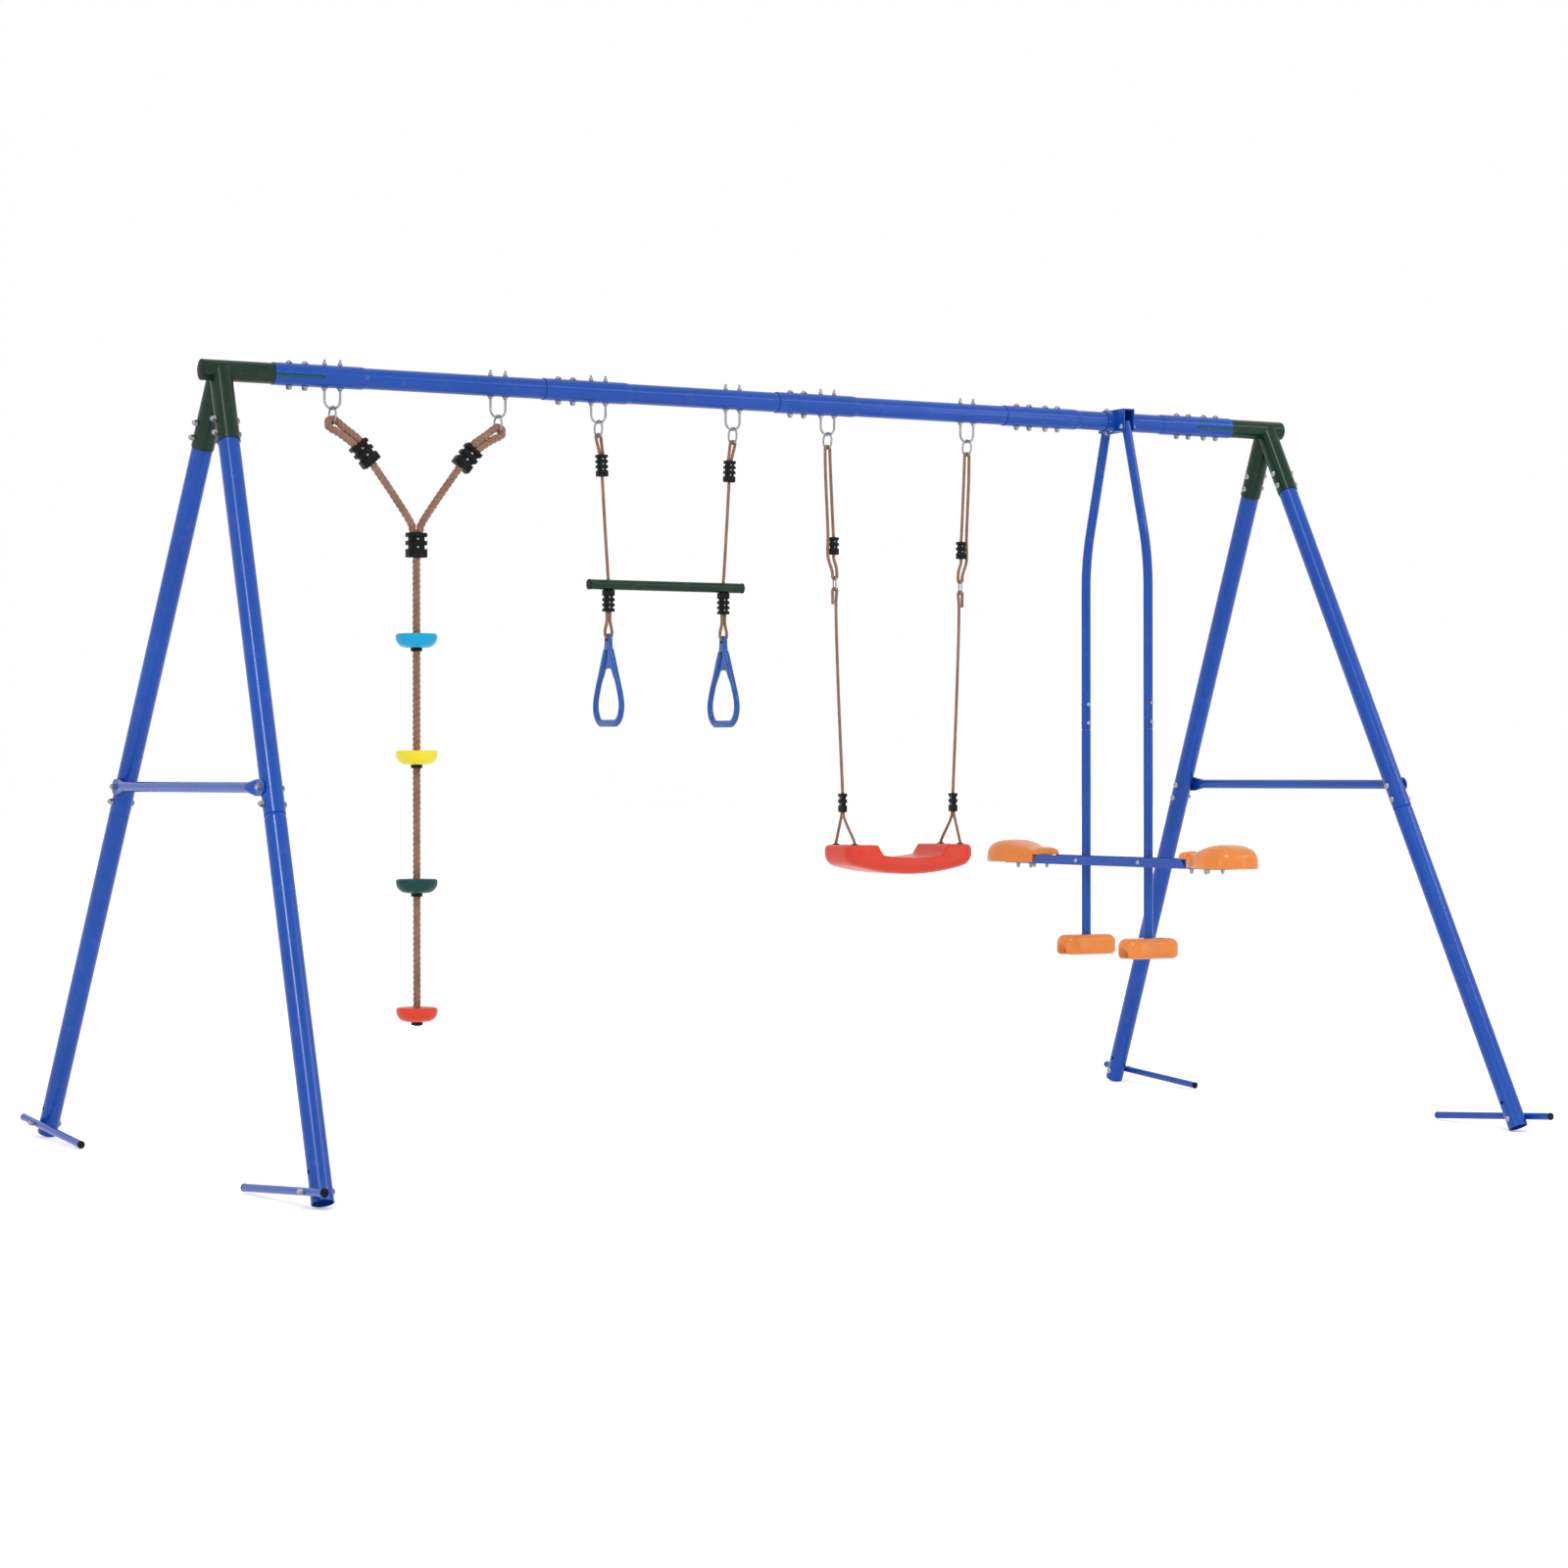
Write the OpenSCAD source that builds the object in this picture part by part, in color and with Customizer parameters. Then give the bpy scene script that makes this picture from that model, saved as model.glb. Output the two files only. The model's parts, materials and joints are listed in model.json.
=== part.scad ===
// Metal frame swing set: disc climber, trapeze with hand rings, swing and two seat glider.
// Millimetres. +X runs along the beam, +Y to the back, +Z up, the ground is z = 0.

/* [Frame] */
// Distance between the two corner connectors along the beam
span = 3050; // [3000:10:3700]
// Height of the beam's centre line above the ground
beam_z = 1860; // [1700:10:2300]
// Distance between the front and rear feet at the ground
foot_spread = 1790; // [1500:10:2200]
// How far each foot stands outside its corner
foot_splay = 120; // [60:5:180]
// Outer diameter of the beam and leg tubes
tube_d = 50; // [44:1:60]
// Wall of the beam and leg tubes
tube_wall = 1.5; // [1.2:0.1:2.5]
// Wall of the green corner sockets
socket_wall = 2; // [1.5:0.1:3]
// Length of a corner socket from the beam's centre line
socket_len = 194; // [170:1:230]
// How far the green beam stub stands out past the corner
stub_out = 47; // [40:1:70]

/* [Beam joints] */
// Corner to the mouth of the first wide tube end
mouth_in = 130; // [110:1:160]
// Tube 1, from its mouth to the next mouth
tube_1_len = 708; // [680:1:800]
// Tube 2, from its mouth to the next mouth
tube_2_len = 658; // [640:1:760]
// Tube 3, from its mouth to the next mouth
tube_3_len = 690; // [660:1:800]
// Length of a wide tube end
sleeve_len = 225; // [210:1:260]

/* [Legs] */
// Corner to the seam between the upper and lower leg tubes
seam_at = 1152; // [1100:1:1300]
// Length of the lower leg's thin end inside the upper leg
spigot_len = 100; // [90:1:140]
// Foot end to the anchor hole, along the leg
anchor_at = 70; // [60:1:100]
// Diameter of the ground anchor hole
anchor_d = 10; // [8:0.5:12]
// Foot end to the foot bar's bolt, along the leg
foot_bolt_at = 26; // [24:1:40]
// Diameter of a foot bar
foot_bar_d = 18; // [16:1:22]
// Foot bar, from its bolt to the inner end
foot_bar_in = 347; // [300:1:420]
// Foot bar, from its bolt to the outer end
foot_bar_out = 98; // [80:1:130]
// Diameter of a crossbar
crossbar_d = 25; // [20:1:30]
// Height of a crossbar's flat end
paddle_h = 38; // [34:1:44]

/* [Fasteners] */
// Diameter of the frame bolts
bolt_d = 8; // [6:0.5:10]
// Diameter of a dome head
head_d = 17; // [14:0.5:20]
// Height of a dome head
head_h = 6.5; // [5:0.5:8]
// Diameter of the U-bolt wire
u_wire = 6; // [5:0.5:8]
// Distance between the legs of a U-bolt
u_gap = 40; // [34:1:44]
// Beam centre to the middle of the U-bolt's bottom wire
u_drop = 76; // [70:1:90]
// Diameter of the ring wire
ring_wire = 5; // [4:0.5:6]
// Outer diameter of a hanging ring
link_d = 46; // [40:1:54]

/* [Disc climber] */
// Distance between the climber's two rings
bridle_w = 434; // [400:1:470]
// Diameter of the climbing rope
thick_rope = 18; // [16:0.5:20]
// Height of the Y clamp's underside
tail_top = 1437; // [1400:1:1460]
// Height of the climbing rope's lower end
tail_low = 313; // [250:1:350]
// Diameter of a climbing disc
disc_d = 100; // [80:1:120]
// Thickness of a climbing disc
disc_h = 34; // [28:1:40]

/* [Trapeze] */
// Distance between the trapeze's two rings
trapeze_w = 380; // [360:1:400]
// Diameter of the thin ropes
thin_rope = 8; // [7:0.5:9]
// Height of the trapeze bar's centre
bar_z = 1385; // [1370:1:1400]
// Diameter of the trapeze bar
bar_d = 25; // [20:1:28]
// Length of the trapeze bar
bar_len = 435; // [400:1:500]
// Distance between the rope holes in the bar
bar_holes = 325; // [310:1:340]
// Height of a hand ring
grip_h = 233; // [200:1:250]
// Thickness of a hand ring
grip_t = 14; // [12:1:20]

/* [Swing] */
// Distance between the swing's two rings
swing_w = 424; // [410:1:440]
// Length of the seat
seat_len = 380; // [360:1:420]
// Depth of the seat
seat_deep = 165; // [140:1:190]
// Height of the seat's wing tops
seat_z = 734; // [700:1:760]

/* [Glider] */
// Last mouth to the glider's middle
glider_at = 364; // [340:1:380]
// Half distance between the top pivots
pivot_y = 46; // [44:1:52]
// Top pivots below the beam's centre line
pivot_drop = 16; // [12:1:20]
// Diameter of a hanger tube
hanger_d = 25; // [22:1:28]
// Wall of a hanger tube
hanger_wall = 1.2; // [1:0.1:2]
// Half distance between the lower pivots
low_y = 144; // [140:1:150]
// Height of the lower pivots
low_z = 681; // [660:1:700]
// Width of the seat beam
beam_w = 68; // [60:1:76]
// Height of the seat beam's sides
beam_h = 25; // [22:1:30]
// Sheet thickness of the seat beam
beam_t = 3; // [2:0.5:4]
// Middle of the glider to the middle of a seat's bolts
seat_y = 405; // [390:1:430]
// Height of a footrest's middle
rest_z = 453; // [430:1:480]
// Length of a footrest
rest_len = 176; // [150:1:190]
// Width of a footrest
rest_w = 80; // [70:1:90]
// Height of a footrest
rest_h = 54; // [40:1:56]

/* [Hidden] */

$fn = 48;
gap = 0.3;          // clearance between pieces that slip together
skin = 0.1;         // clearance under heads and around bolts
hole_gap = 0.4;     // clearance of a bolt in its hole
turn_gap = 0.1;     // running clearance of a pivot bolt

tube_r = tube_d / 2;
spigot_r = tube_r - tube_wall - gap;
sleeve_in = tube_r + gap;
sleeve_r = sleeve_in + tube_wall + 0.2;
socket_r = sleeve_in + socket_wall;
half = span / 2;

// Leg line: square cut foot whose lowest rim point stands on the ground
run = norm([foot_splay, foot_spread / 2]);
foot_z0 = tube_r * run / norm([run, beam_z]);
foot_z = tube_r * run / norm([run, beam_z - foot_z0]);
leg_len = norm([run, beam_z - foot_z]);
leg_top = 70;       // gap between the corner's centre and the leg tube's end
function leg_up(sx, sy) = [-sx * foot_splay, -sy * foot_spread / 2, beam_z - foot_z] / leg_len;
function leg_a(sx, sy) = -asin(leg_up(sx, sy)[1]);
function leg_b(sx, sy) = asin(leg_up(sx, sy)[0] / cos(leg_a(sx, sy)));
function foot(sx, sy) = [sx * (half + foot_splay), sy * foot_spread / 2, foot_z];
function on_leg(sx, sy, s) = foot(sx, sy) + leg_up(sx, sy) * s;   // s from the foot end

// Beam stations
joint_holes = [42, 82, 133, 172];
spigot = 215;       // how far a tube goes into the next wide end
mouth = [-half + mouth_in, -half + mouth_in + tube_1_len, -half + mouth_in + tube_1_len + tube_2_len,
  -half + mouth_in + tube_1_len + tube_2_len + tube_3_len];
mouth_r = half - mouth_in;
hang = [mouth[0] + 152.5, mouth[0] + 152.5 + bridle_w, mouth[1] + 152.5,
  mouth[1] + 152.5 + trapeze_w, mouth[2] + 152.5, mouth[2] + 152.5 + swing_w];
hang_wide = [true, false, true, false, true, false];
hang_z = beam_z - u_drop;
seam_bolts = [seam_at - 67, seam_at - 27];
socket_bolts = [socket_len - 59, socket_len - 22];

wire_r = u_wire / 2;
link_r = (link_d - ring_wire) / 2;
link_z = hang_z + wire_r + ring_wire / 2 + gap - link_r;

// Colours
blue = [0.10, 0.28, 0.70];
green = [0.05, 0.22, 0.14];
black = [0.05, 0.05, 0.06];
zinc = [0.72, 0.73, 0.75];
rope = [0.62, 0.44, 0.34];
orange = [0.95, 0.50, 0.22];

/* ---- small shapes ---- */

module along_x(a, b, r) translate([a, 0, 0]) rotate([0, 90, 0]) cylinder(r = r, h = b - a);
module x_bar(len, r) rotate([0, 90, 0]) cylinder(r = r, h = len, center = true);
module y_bar(len, r) rotate([90, 0, 0]) cylinder(r = r, h = len, center = true);

// Dome of base radius r and height h on z = 0
module dome(r, h) {
  big = (r * r + h * h) / (2 * h);
  intersection() {
    translate([0, 0, h - big]) sphere(r = big, $fn = 64);
    cylinder(r = r, h = h);
  }
}

// Dome head bolt: head's underside at z = 0, shaft down to -len
module dome_bolt(d, len, hd, hh) {
  translate([0, 0, skin]) dome(hd / 2, hh);
  translate([0, 0, -len]) cylinder(d = d, h = len + skin + 0.5);
}

module washer(d, od, t) difference() {
  cylinder(d = od, h = t);
  translate([0, 0, -1]) cylinder(d = d + 2 * skin, h = t + 2);
}

// Hex nut on z = 0 to z = h, af across the flats
module hex_nut(d, af, h) difference() {
  intersection() {
    cylinder(d = af / cos(30), h = h, $fn = 6);
    translate([0, 0, h / 2]) sphere(r = norm([af / 2 + 0.4, h / 2]), $fn = 64);
  }
  translate([0, 0, -1]) cylinder(d = d + 2 * skin, h = h + 2);
}

// Cap nut: hex with a closed dome
module cap_nut(d, af, h) difference() {
  union() {
    cylinder(d = af / cos(30), h = h * 0.5, $fn = 6);
    translate([0, 0, h * 0.5]) dome(af / 2 - 0.3, h * 0.5);
  }
  translate([0, 0, -1]) cylinder(d = d + 2 * skin, h = h * 0.7 + 1);
}

// Steel ring in the YZ plane
module wire_ring(r, wire) rotate([0, 90, 0]) rotate_extrude($fn = 64)
  translate([r, 0]) circle(d = wire, $fn = 24);

// Long link in the YZ plane, centred, h tall and w wide over the wire
module long_link(w, h, wire) {
  r = (w - wire) / 2;
  s = h / 2 - w / 2;
  for (m = [0, 1]) mirror([0, 0, m]) translate([0, 0, s]) rotate([90, 0, 90])
    rotate_extrude(angle = 180, $fn = 48) translate([r, 0]) circle(d = wire, $fn = 24);
  for (y = [-r, r]) translate([0, y, -s]) cylinder(d = wire, h = 2 * s);
}

// Rope tube swept through points p with radii r (one per point), k sides
function unit(v) = v / norm(v);
function tangent(p, i) = let (n = len(p) - 1)
  i == 0 ? unit(p[1] - p[0]) : i == n ? unit(p[n] - p[n - 1])
  : unit(unit(p[i + 1] - p[i]) + unit(p[i] - p[i - 1]));
module rope_tube(p, r, ref = [0, 1, 0], k = 10) {
  n = len(p);
  pts = [for (i = [0:n - 1]) let (t = tangent(p, i), u = unit(ref - (ref * t) * t), v = cross(t, u))
    for (j = [0:k - 1]) p[i] + r[i] * (cos(360 * j / k) * u + sin(360 * j / k) * v)];
  sides = [for (i = [0:n - 2]) for (j = [0:k - 1])
    [i * k + j, (i + 1) * k + j, (i + 1) * k + (j + 1) % k, i * k + (j + 1) % k]];
  polyhedron(points = pts, faces = concat(sides, [[for (j = [0:k - 1]) j]],
    [[for (j = [k - 1:-1:0]) (n - 1) * k + j]]), convexity = 6);
}
function flat_r(p, r) = [for (i = p) r];
// Half turn of radius r about c in the XZ plane, from angle a to angle b
function turn(c, r, a, b, n = 8) = [for (i = [0:n]) let (t = a + (b - a) * i / n)
  [c[0] + r * cos(t), 0, c[1] + r * sin(t)]];

// Ribbed rope clamp: w wide (X), d deep (Y), z from -h to 0, thick flange at the bottom
module rope_clamp(w, d, h, thick, fl = 6) {
  core = h - fl - thick;
  translate([-w / 2 + 3, -d / 2 + 2, -h + 0.5]) cube([w - 6, d - 4, h - 1]);
  translate([-w / 2, -d / 2, -fl]) cube([w, d, fl]);
  translate([-w / 2, -d / 2, -h]) cube([w, d, thick]);
  for (i = [1:2]) translate([-w / 2, -d / 2, -fl - core * i / 3 - 2]) cube([w, d, 4]);
}

/* ---- frame ---- */

module at_leg(sx, sy) translate(foot(sx, sy)) rotate([leg_a(sx, sy), leg_b(sx, sy), 0]) children();

module joint_bores(m, dir, list, d) for (i = list)
  translate([m + dir * joint_holes[i], 0, 0]) cylinder(d = d + 2 * hole_gap, h = 3 * tube_d, center = true);

module u_bores(x) for (s = [-1, 1])
  translate([x + s * u_gap / 2, 0, 0]) cylinder(d = u_wire + 2 * hole_gap, h = 3 * tube_d, center = true);

// Corner connector: beam stub with two leg sockets, sx is its side
module corner(sx) {
  inner = half - mouth_in - spigot;
  difference() {
    union() {
      translate([0, 0, beam_z]) along_x(sx < 0 ? -half - stub_out : inner,
        sx < 0 ? -inner : half + stub_out, tube_r);
      for (sy = [-1, 1]) at_leg(sx, sy) translate([0, 0, leg_len - socket_len]) cylinder(r = socket_r, h = socket_len);
    }
    translate([0, 0, beam_z]) along_x(-half - 2 * stub_out, half + 2 * stub_out, tube_r - tube_wall);
    for (sy = [-1, 1]) at_leg(sx, sy) {
      translate([0, 0, leg_len - socket_len - 5]) cylinder(r = sleeve_in, h = socket_len - 30 + 5);
      for (s = socket_bolts) translate([0, 0, leg_len - s]) x_bar(3 * tube_d, bolt_d / 2 + hole_gap);
    }
    translate([0, 0, beam_z]) {
      if (sx < 0) { joint_bores(mouth[0], 1, [0, 1], bolt_d); u_bores(hang[0]); }
      else joint_bores(mouth_r, -1, [0, 1, 2, 3], bolt_d);
    }
  }
}

// Beam tube from its mouth m to x1, wide end on the left, and on the right too if both is set
module beam_tube(m, x1, both = false) {
  cone = 12;
  out = concat([[sleeve_r, 0], [sleeve_r, sleeve_len], [tube_r, sleeve_len + cone]],
    both ? [[tube_r, x1 - m - sleeve_len - cone], [sleeve_r, x1 - m - sleeve_len], [sleeve_r, x1 - m]]
    : [[tube_r, x1 - m]]);
  in = concat([[sleeve_in, 0], [sleeve_in, sleeve_len], [tube_r - tube_wall, sleeve_len + cone]],
    both ? [[tube_r - tube_wall, x1 - m - sleeve_len - cone], [sleeve_in, x1 - m - sleeve_len], [sleeve_in, x1 - m]]
    : [[tube_r - tube_wall, x1 - m]]);
  translate([m, 0, beam_z]) rotate([0, 90, 0])
    rotate_extrude($fn = 64) polygon(concat(out, [for (i = [len(in) - 1:-1:0]) in[i]]));
}
module slot_cut(x, len) translate([x, -sleeve_r - 1, beam_z - 7.5]) cube([len, 14, 6]);

module beam_1() color(blue) difference() {
  beam_tube(mouth[0], mouth[1] + spigot);
  translate([0, 0, beam_z]) {
    joint_bores(mouth[0], 1, [0, 1], bolt_d);
    joint_bores(mouth[1], 1, [0, 1], bolt_d);
    for (i = [0, 1, 2]) u_bores(hang[i]);
  }
  slot_cut(mouth[0] - 1, 122);
}
module beam_2() color(blue) difference() {
  beam_tube(mouth[1], mouth[2] + spigot);
  translate([0, 0, beam_z]) {
    joint_bores(mouth[1], 1, [0, 1], bolt_d);
    joint_bores(mouth[2], 1, [0, 1], bolt_d);
    for (i = [2, 3, 4]) u_bores(hang[i]);
  }
}
module beam_3() color(blue) difference() {
  beam_tube(mouth[2], mouth[3] + spigot);
  translate([0, 0, beam_z]) {
    joint_bores(mouth[2], 1, [0, 1], bolt_d);
    joint_bores(mouth[3], 1, [0, 1, 2, 3], bolt_d);
    for (i = [4, 5]) u_bores(hang[i]);
  }
}
module beam_4() color(blue) difference() {
  beam_tube(mouth[3], mouth_r, true);
  translate([0, 0, beam_z]) {
    joint_bores(mouth[3], 1, [0, 1, 2, 3], bolt_d);
    joint_bores(mouth_r, -1, [0, 1, 2, 3], bolt_d);
    for (x = [glider_x - saddle_off, glider_x + saddle_off])
      translate([x, 0, 0]) cylinder(d = bolt_d + 2 * hole_gap, h = 3 * tube_d, center = true);
  }
  slot_cut(mouth_r - 121, 122);
}

module leg_bores(list) for (s = list) translate([0, 0, leg_len - s]) x_bar(3 * tube_d, bolt_d / 2 + hole_gap);

module upper_leg(sx, sy) color(blue) at_leg(sx, sy) difference() {
  translate([0, 0, leg_len - seam_at]) cylinder(r = tube_r, h = seam_at - leg_top);
  translate([0, 0, leg_len - seam_at - 1]) cylinder(r = tube_r - tube_wall, h = seam_at);
  leg_bores(concat(socket_bolts, seam_bolts));
}

module lower_leg(sx, sy) color(blue) at_leg(sx, sy) difference() {
  top = leg_len - seam_at;
  rotate_extrude($fn = 64) polygon([[tube_r - tube_wall, 0], [tube_r, 0], [tube_r, top - 8],
    [spigot_r, top - gap], [spigot_r, top + spigot_len], [spigot_r - tube_wall, top + spigot_len],
    [spigot_r - tube_wall, top - 2], [tube_r - tube_wall, top - 10]]);
  leg_bores(seam_bolts);
  translate([0, 0, anchor_at]) x_bar(3 * tube_d, anchor_d / 2);
  translate([0, 0, foot_bolt_at]) x_bar(3 * tube_d, bolt_d / 2 + hole_gap);
}

// Crossbar on the outer side of a frame, flat ends under the upper seam bolts
paddle_t = 3;
cross_s = leg_len - seam_bolts[0];
module crossbar(sx) {
  p = on_leg(sx, 1, cross_s);
  x0 = sx * (tube_r + skin + paddle_t / 2);
  flat = 26;
  translate([p[0], 0, p[2]]) rotate([0, leg_b(sx, 1), 0]) translate([x0, 0, 0]) difference() {
    union() {
      y_bar(2 * (p[1] - 62), crossbar_d / 2);
      for (s = [-1, 1]) {
        hull() {
          translate([0, s * (p[1] - 64), 0]) y_bar(4, crossbar_d / 2, $fn = 32);
          translate([-paddle_t / 2, s * (p[1] - flat) - 1, -paddle_h / 2 + 1]) cube([paddle_t, 2, paddle_h - 2]);
        }
        translate([-paddle_t / 2, s * (p[1] - flat / 2) - flat / 2, -paddle_h / 2]) cube([paddle_t, flat, paddle_h]);
        translate([0, s * p[1], 0]) x_bar(paddle_t, paddle_h / 2);
      }
    }
    y_bar(2 * (p[1] - 66), crossbar_d / 2 - 1.2);
    for (s = [-1, 1]) translate([0, s * p[1], 0]) x_bar(2 * crossbar_d, bolt_d / 2 + hole_gap);
  }
}

// Foot bar frame: origin on the bolt axis at the bar's centre line, +Y towards the inner end
bar_cap_r = foot_bar_d / 2 + 0.5;
foot_bolt_z = on_leg(1, 1, foot_bolt_at)[2];
foot_tilt = asin((foot_bolt_z - bar_cap_r) / foot_bar_in);
module at_foot_bar(sx, sy) {
  p = on_leg(sx, sy, foot_bolt_at);
  translate(p) rotate([0, leg_b(sx, sy), 0]) translate([sx * (tube_r + gap + foot_bar_d / 2), 0, 0])
    rotate([sy > 0 ? foot_tilt : -foot_tilt, 0, 0]) mirror([0, sy > 0 ? 1 : 0, 0]) children();
}
module foot_bar() difference() {
  translate([0, (foot_bar_in - foot_bar_out) / 2, 0]) y_bar(foot_bar_in + foot_bar_out - 4, foot_bar_d / 2);
  y_bar(4 * foot_bar_in, foot_bar_d / 2 - 1.5);
  x_bar(4 * foot_bar_d, bolt_d / 2 + hole_gap);
}
module foot_caps() for (e = [[foot_bar_in, 0], [-foot_bar_out, 180]])
  translate([0, e[0], 0]) rotate([90, 0, 0]) rotate([0, e[1], 0]) {
    cylinder(r = bar_cap_r, h = 2);
    translate([0, 0, 1.5]) cylinder(r = foot_bar_d / 2 - 1.5 - 0.1, h = 14);
  }

module end_cap(sx) translate([sx * (half + stub_out), 0, beam_z]) rotate([0, sx * 90, 0]) {
  dome(tube_r, 4);
  translate([0, 0, -18]) cylinder(r = tube_r - tube_wall - 0.1, h = 19);
}

// Vertical beam bolts: list of [x, outer radius of the tube]
beam_bolt_list = concat(
  [for (i = [0, 1]) [mouth[0] + joint_holes[i], sleeve_r]],
  [for (i = [0, 1]) [mouth[1] + joint_holes[i], sleeve_r]],
  [for (i = [0, 1]) [mouth[2] + joint_holes[i], sleeve_r]],
  [for (i = [0:3]) [mouth[3] + joint_holes[i], sleeve_r]],
  [for (i = [0:3]) [mouth_r - joint_holes[i], sleeve_r]]);

// Leg bolts: [distance from the corner, outer radius, extra on the outer side]
leg_bolt_list = [[socket_bolts[0], socket_r, 0], [socket_bolts[1], socket_r, 0],
  [seam_bolts[0], tube_r, paddle_t + skin], [seam_bolts[1], tube_r, 0],
  [leg_len - foot_bolt_at, tube_r, foot_bar_d + gap + skin]];

module frame_bolts() {
  for (b = beam_bolt_list) translate([b[0], 0, beam_z + b[1]]) dome_bolt(bolt_d, 2 * b[1] + 10, head_d, head_h);
  for (sx = [-1, 1]) for (sy = [-1, 1]) at_leg(sx, sy) for (b = leg_bolt_list)
    translate([-sx * b[1], 0, leg_len - b[0]]) rotate([0, -sx * 90, 0])
      dome_bolt(bolt_d, 2 * b[1] + b[2] + 6, head_d, head_h);
}

module frame_nuts() {
  for (b = beam_bolt_list) translate([b[0], 0, beam_z - b[1] - skin]) mirror([0, 0, 1]) {
    washer(bolt_d, 16, 1.5);
    translate([0, 0, 1.5]) hex_nut(bolt_d, 13, 6.5);
  }
  for (sx = [-1, 1]) for (sy = [-1, 1]) at_leg(sx, sy) for (b = leg_bolt_list)
    translate([sx * (b[1] + b[2] + skin), 0, leg_len - b[0]]) rotate([0, sx * 90, 0]) {
      washer(bolt_d, 16, 1.5);
      translate([0, 0, 1.5]) cap_nut(bolt_d, 13, 11);
    }
}

module u_bolt(x, r) translate([x, 0, 0]) {
  for (s = [-1, 1]) translate([s * u_gap / 2, 0, 0]) {
    translate([0, 0, hang_z + u_gap / 2]) cylinder(d = u_wire, h = u_drop - u_gap / 2 + r + 14);
    translate([0, 0, beam_z + r + skin]) {
      washer(u_wire, 12, 1.2);
      translate([0, 0, 1.2]) hex_nut(u_wire, 10, 5);
    }
    translate([0, 0, beam_z - r - skin]) mirror([0, 0, 1]) {
      washer(u_wire, 17, 1.6);
      translate([0, 0, 1.6]) hex_nut(u_wire, 10, 5);
    }
  }
  translate([0, 0, hang_z + u_gap / 2]) rotate([-90, 0, 0])
    rotate_extrude(angle = 180, $fn = 48) translate([u_gap / 2, 0]) circle(d = u_wire, $fn = 24);
}

/* ---- disc climber ---- */

// Local XZ routes, mirrored for the right side; x from the ring, z from the ring's lower wire
climb_z = link_z - link_r;
climb_dir = unit([64, -39]);
climb_n = [-climb_dir[1], climb_dir[0]];
climb_turn = thick_rope / 2 + ring_wire / 2 + 0.3;
clamp_in = [64, -44];       // middle of the clamp's upper face
clamp_out = [102, -90];     // middle of the clamp's lower face
climb_mid_x = (hang[0] + hang[1]) / 2;
y_top = tail_top + 60;      // upper face of the Y clamp
clamp_dir = unit(clamp_out - clamp_in);
clamp_n = [-clamp_dir[1], clamp_dir[0]];
strand = thick_rope / 2 + 0.2;
climb_a = atan2(climb_n[1], climb_n[0]);
loop_pts = concat(
  [for (k = [0.2, 5]) [clamp_in[0] + strand * clamp_n[0] - k * clamp_dir[0], 0, clamp_in[1] + strand * clamp_n[1] - k * clamp_dir[1]]],
  turn([0, 0], climb_turn, climb_a, climb_a + 180),
  [for (k = [5, 0.2]) [clamp_in[0] - strand * clamp_n[0] - k * clamp_dir[0], 0, clamp_in[1] - strand * clamp_n[1] - k * clamp_dir[1]]]);
function v_pts(mid) = concat([for (k = [0.2, 9]) [clamp_out[0] + clamp_dir[0] * k, 0, clamp_out[1] + clamp_dir[1] * k]],
  [[mid - 13, 0, y_top + 20 - climb_z], [mid - 9.8, 0, y_top + 9 - climb_z], [mid - 9.4, 0, y_top + 0.8 - climb_z]]);

module climber_side() {
  rope_tube(loop_pts, flat_r(loop_pts, thick_rope / 2));
  p = v_pts(bridle_w / 2);
  rope_tube(p, flat_r(p, thick_rope / 2));
}
module climber_clamp() translate([clamp_in[0], 0, clamp_in[1]])
  rotate([0, atan2(-clamp_dir[1], clamp_dir[0]) - 90, 0]) rope_clamp(46, 24, norm(clamp_out - clamp_in), 17);

module climber_left() translate([hang[0], 0, climb_z]) children();
module climber_right() translate([hang[1], 0, climb_z]) mirror([1, 0, 0]) children();

tail_z = [for (z = [924.5, 643.5, 334.5, 25.5]) tail_low + z];   // disc middles
tail_pts = [[0, 0, tail_top - gap], [0, 0, tail_top - thick_rope / 2], [0, 0, 1300], [0, 0, 1000],
  [0, 0, 700], [0, 0, 400], [0, 0, tail_low]];
tail_r = [0.5, thick_rope / 2, thick_rope / 2, thick_rope / 2, thick_rope / 2, thick_rope / 2, thick_rope / 2];
tail_hole = thick_rope / 2 + gap;

// Climbing disc: flat top with a bowl underside
module disc(i, c) color(c) translate([climb_mid_x, 0, tail_z[i] - disc_h / 2]) rotate_extrude($fn = 72)
  polygon(concat([[tail_hole, 0], [tail_hole, disc_h], [disc_d / 2 - 5, disc_h]],
    [for (a = [75:-15:0]) [disc_d / 2 - 5 + 5 * cos(a), disc_h - 5 + 5 * sin(a)]],
    [for (a = [0:10:80]) [disc_d / 2 - 24 + 24 * cos(a), 24 - 24 * sin(a)]]));
module disc_stop(i) translate([climb_mid_x, 0, tail_z[i] - disc_h / 2 - 8.5]) difference() {
  cylinder(d = 28, h = 8.4);
  translate([0, 0, -1]) cylinder(r = tail_hole, h = 11);
}

/* ---- trapeze ---- */

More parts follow.
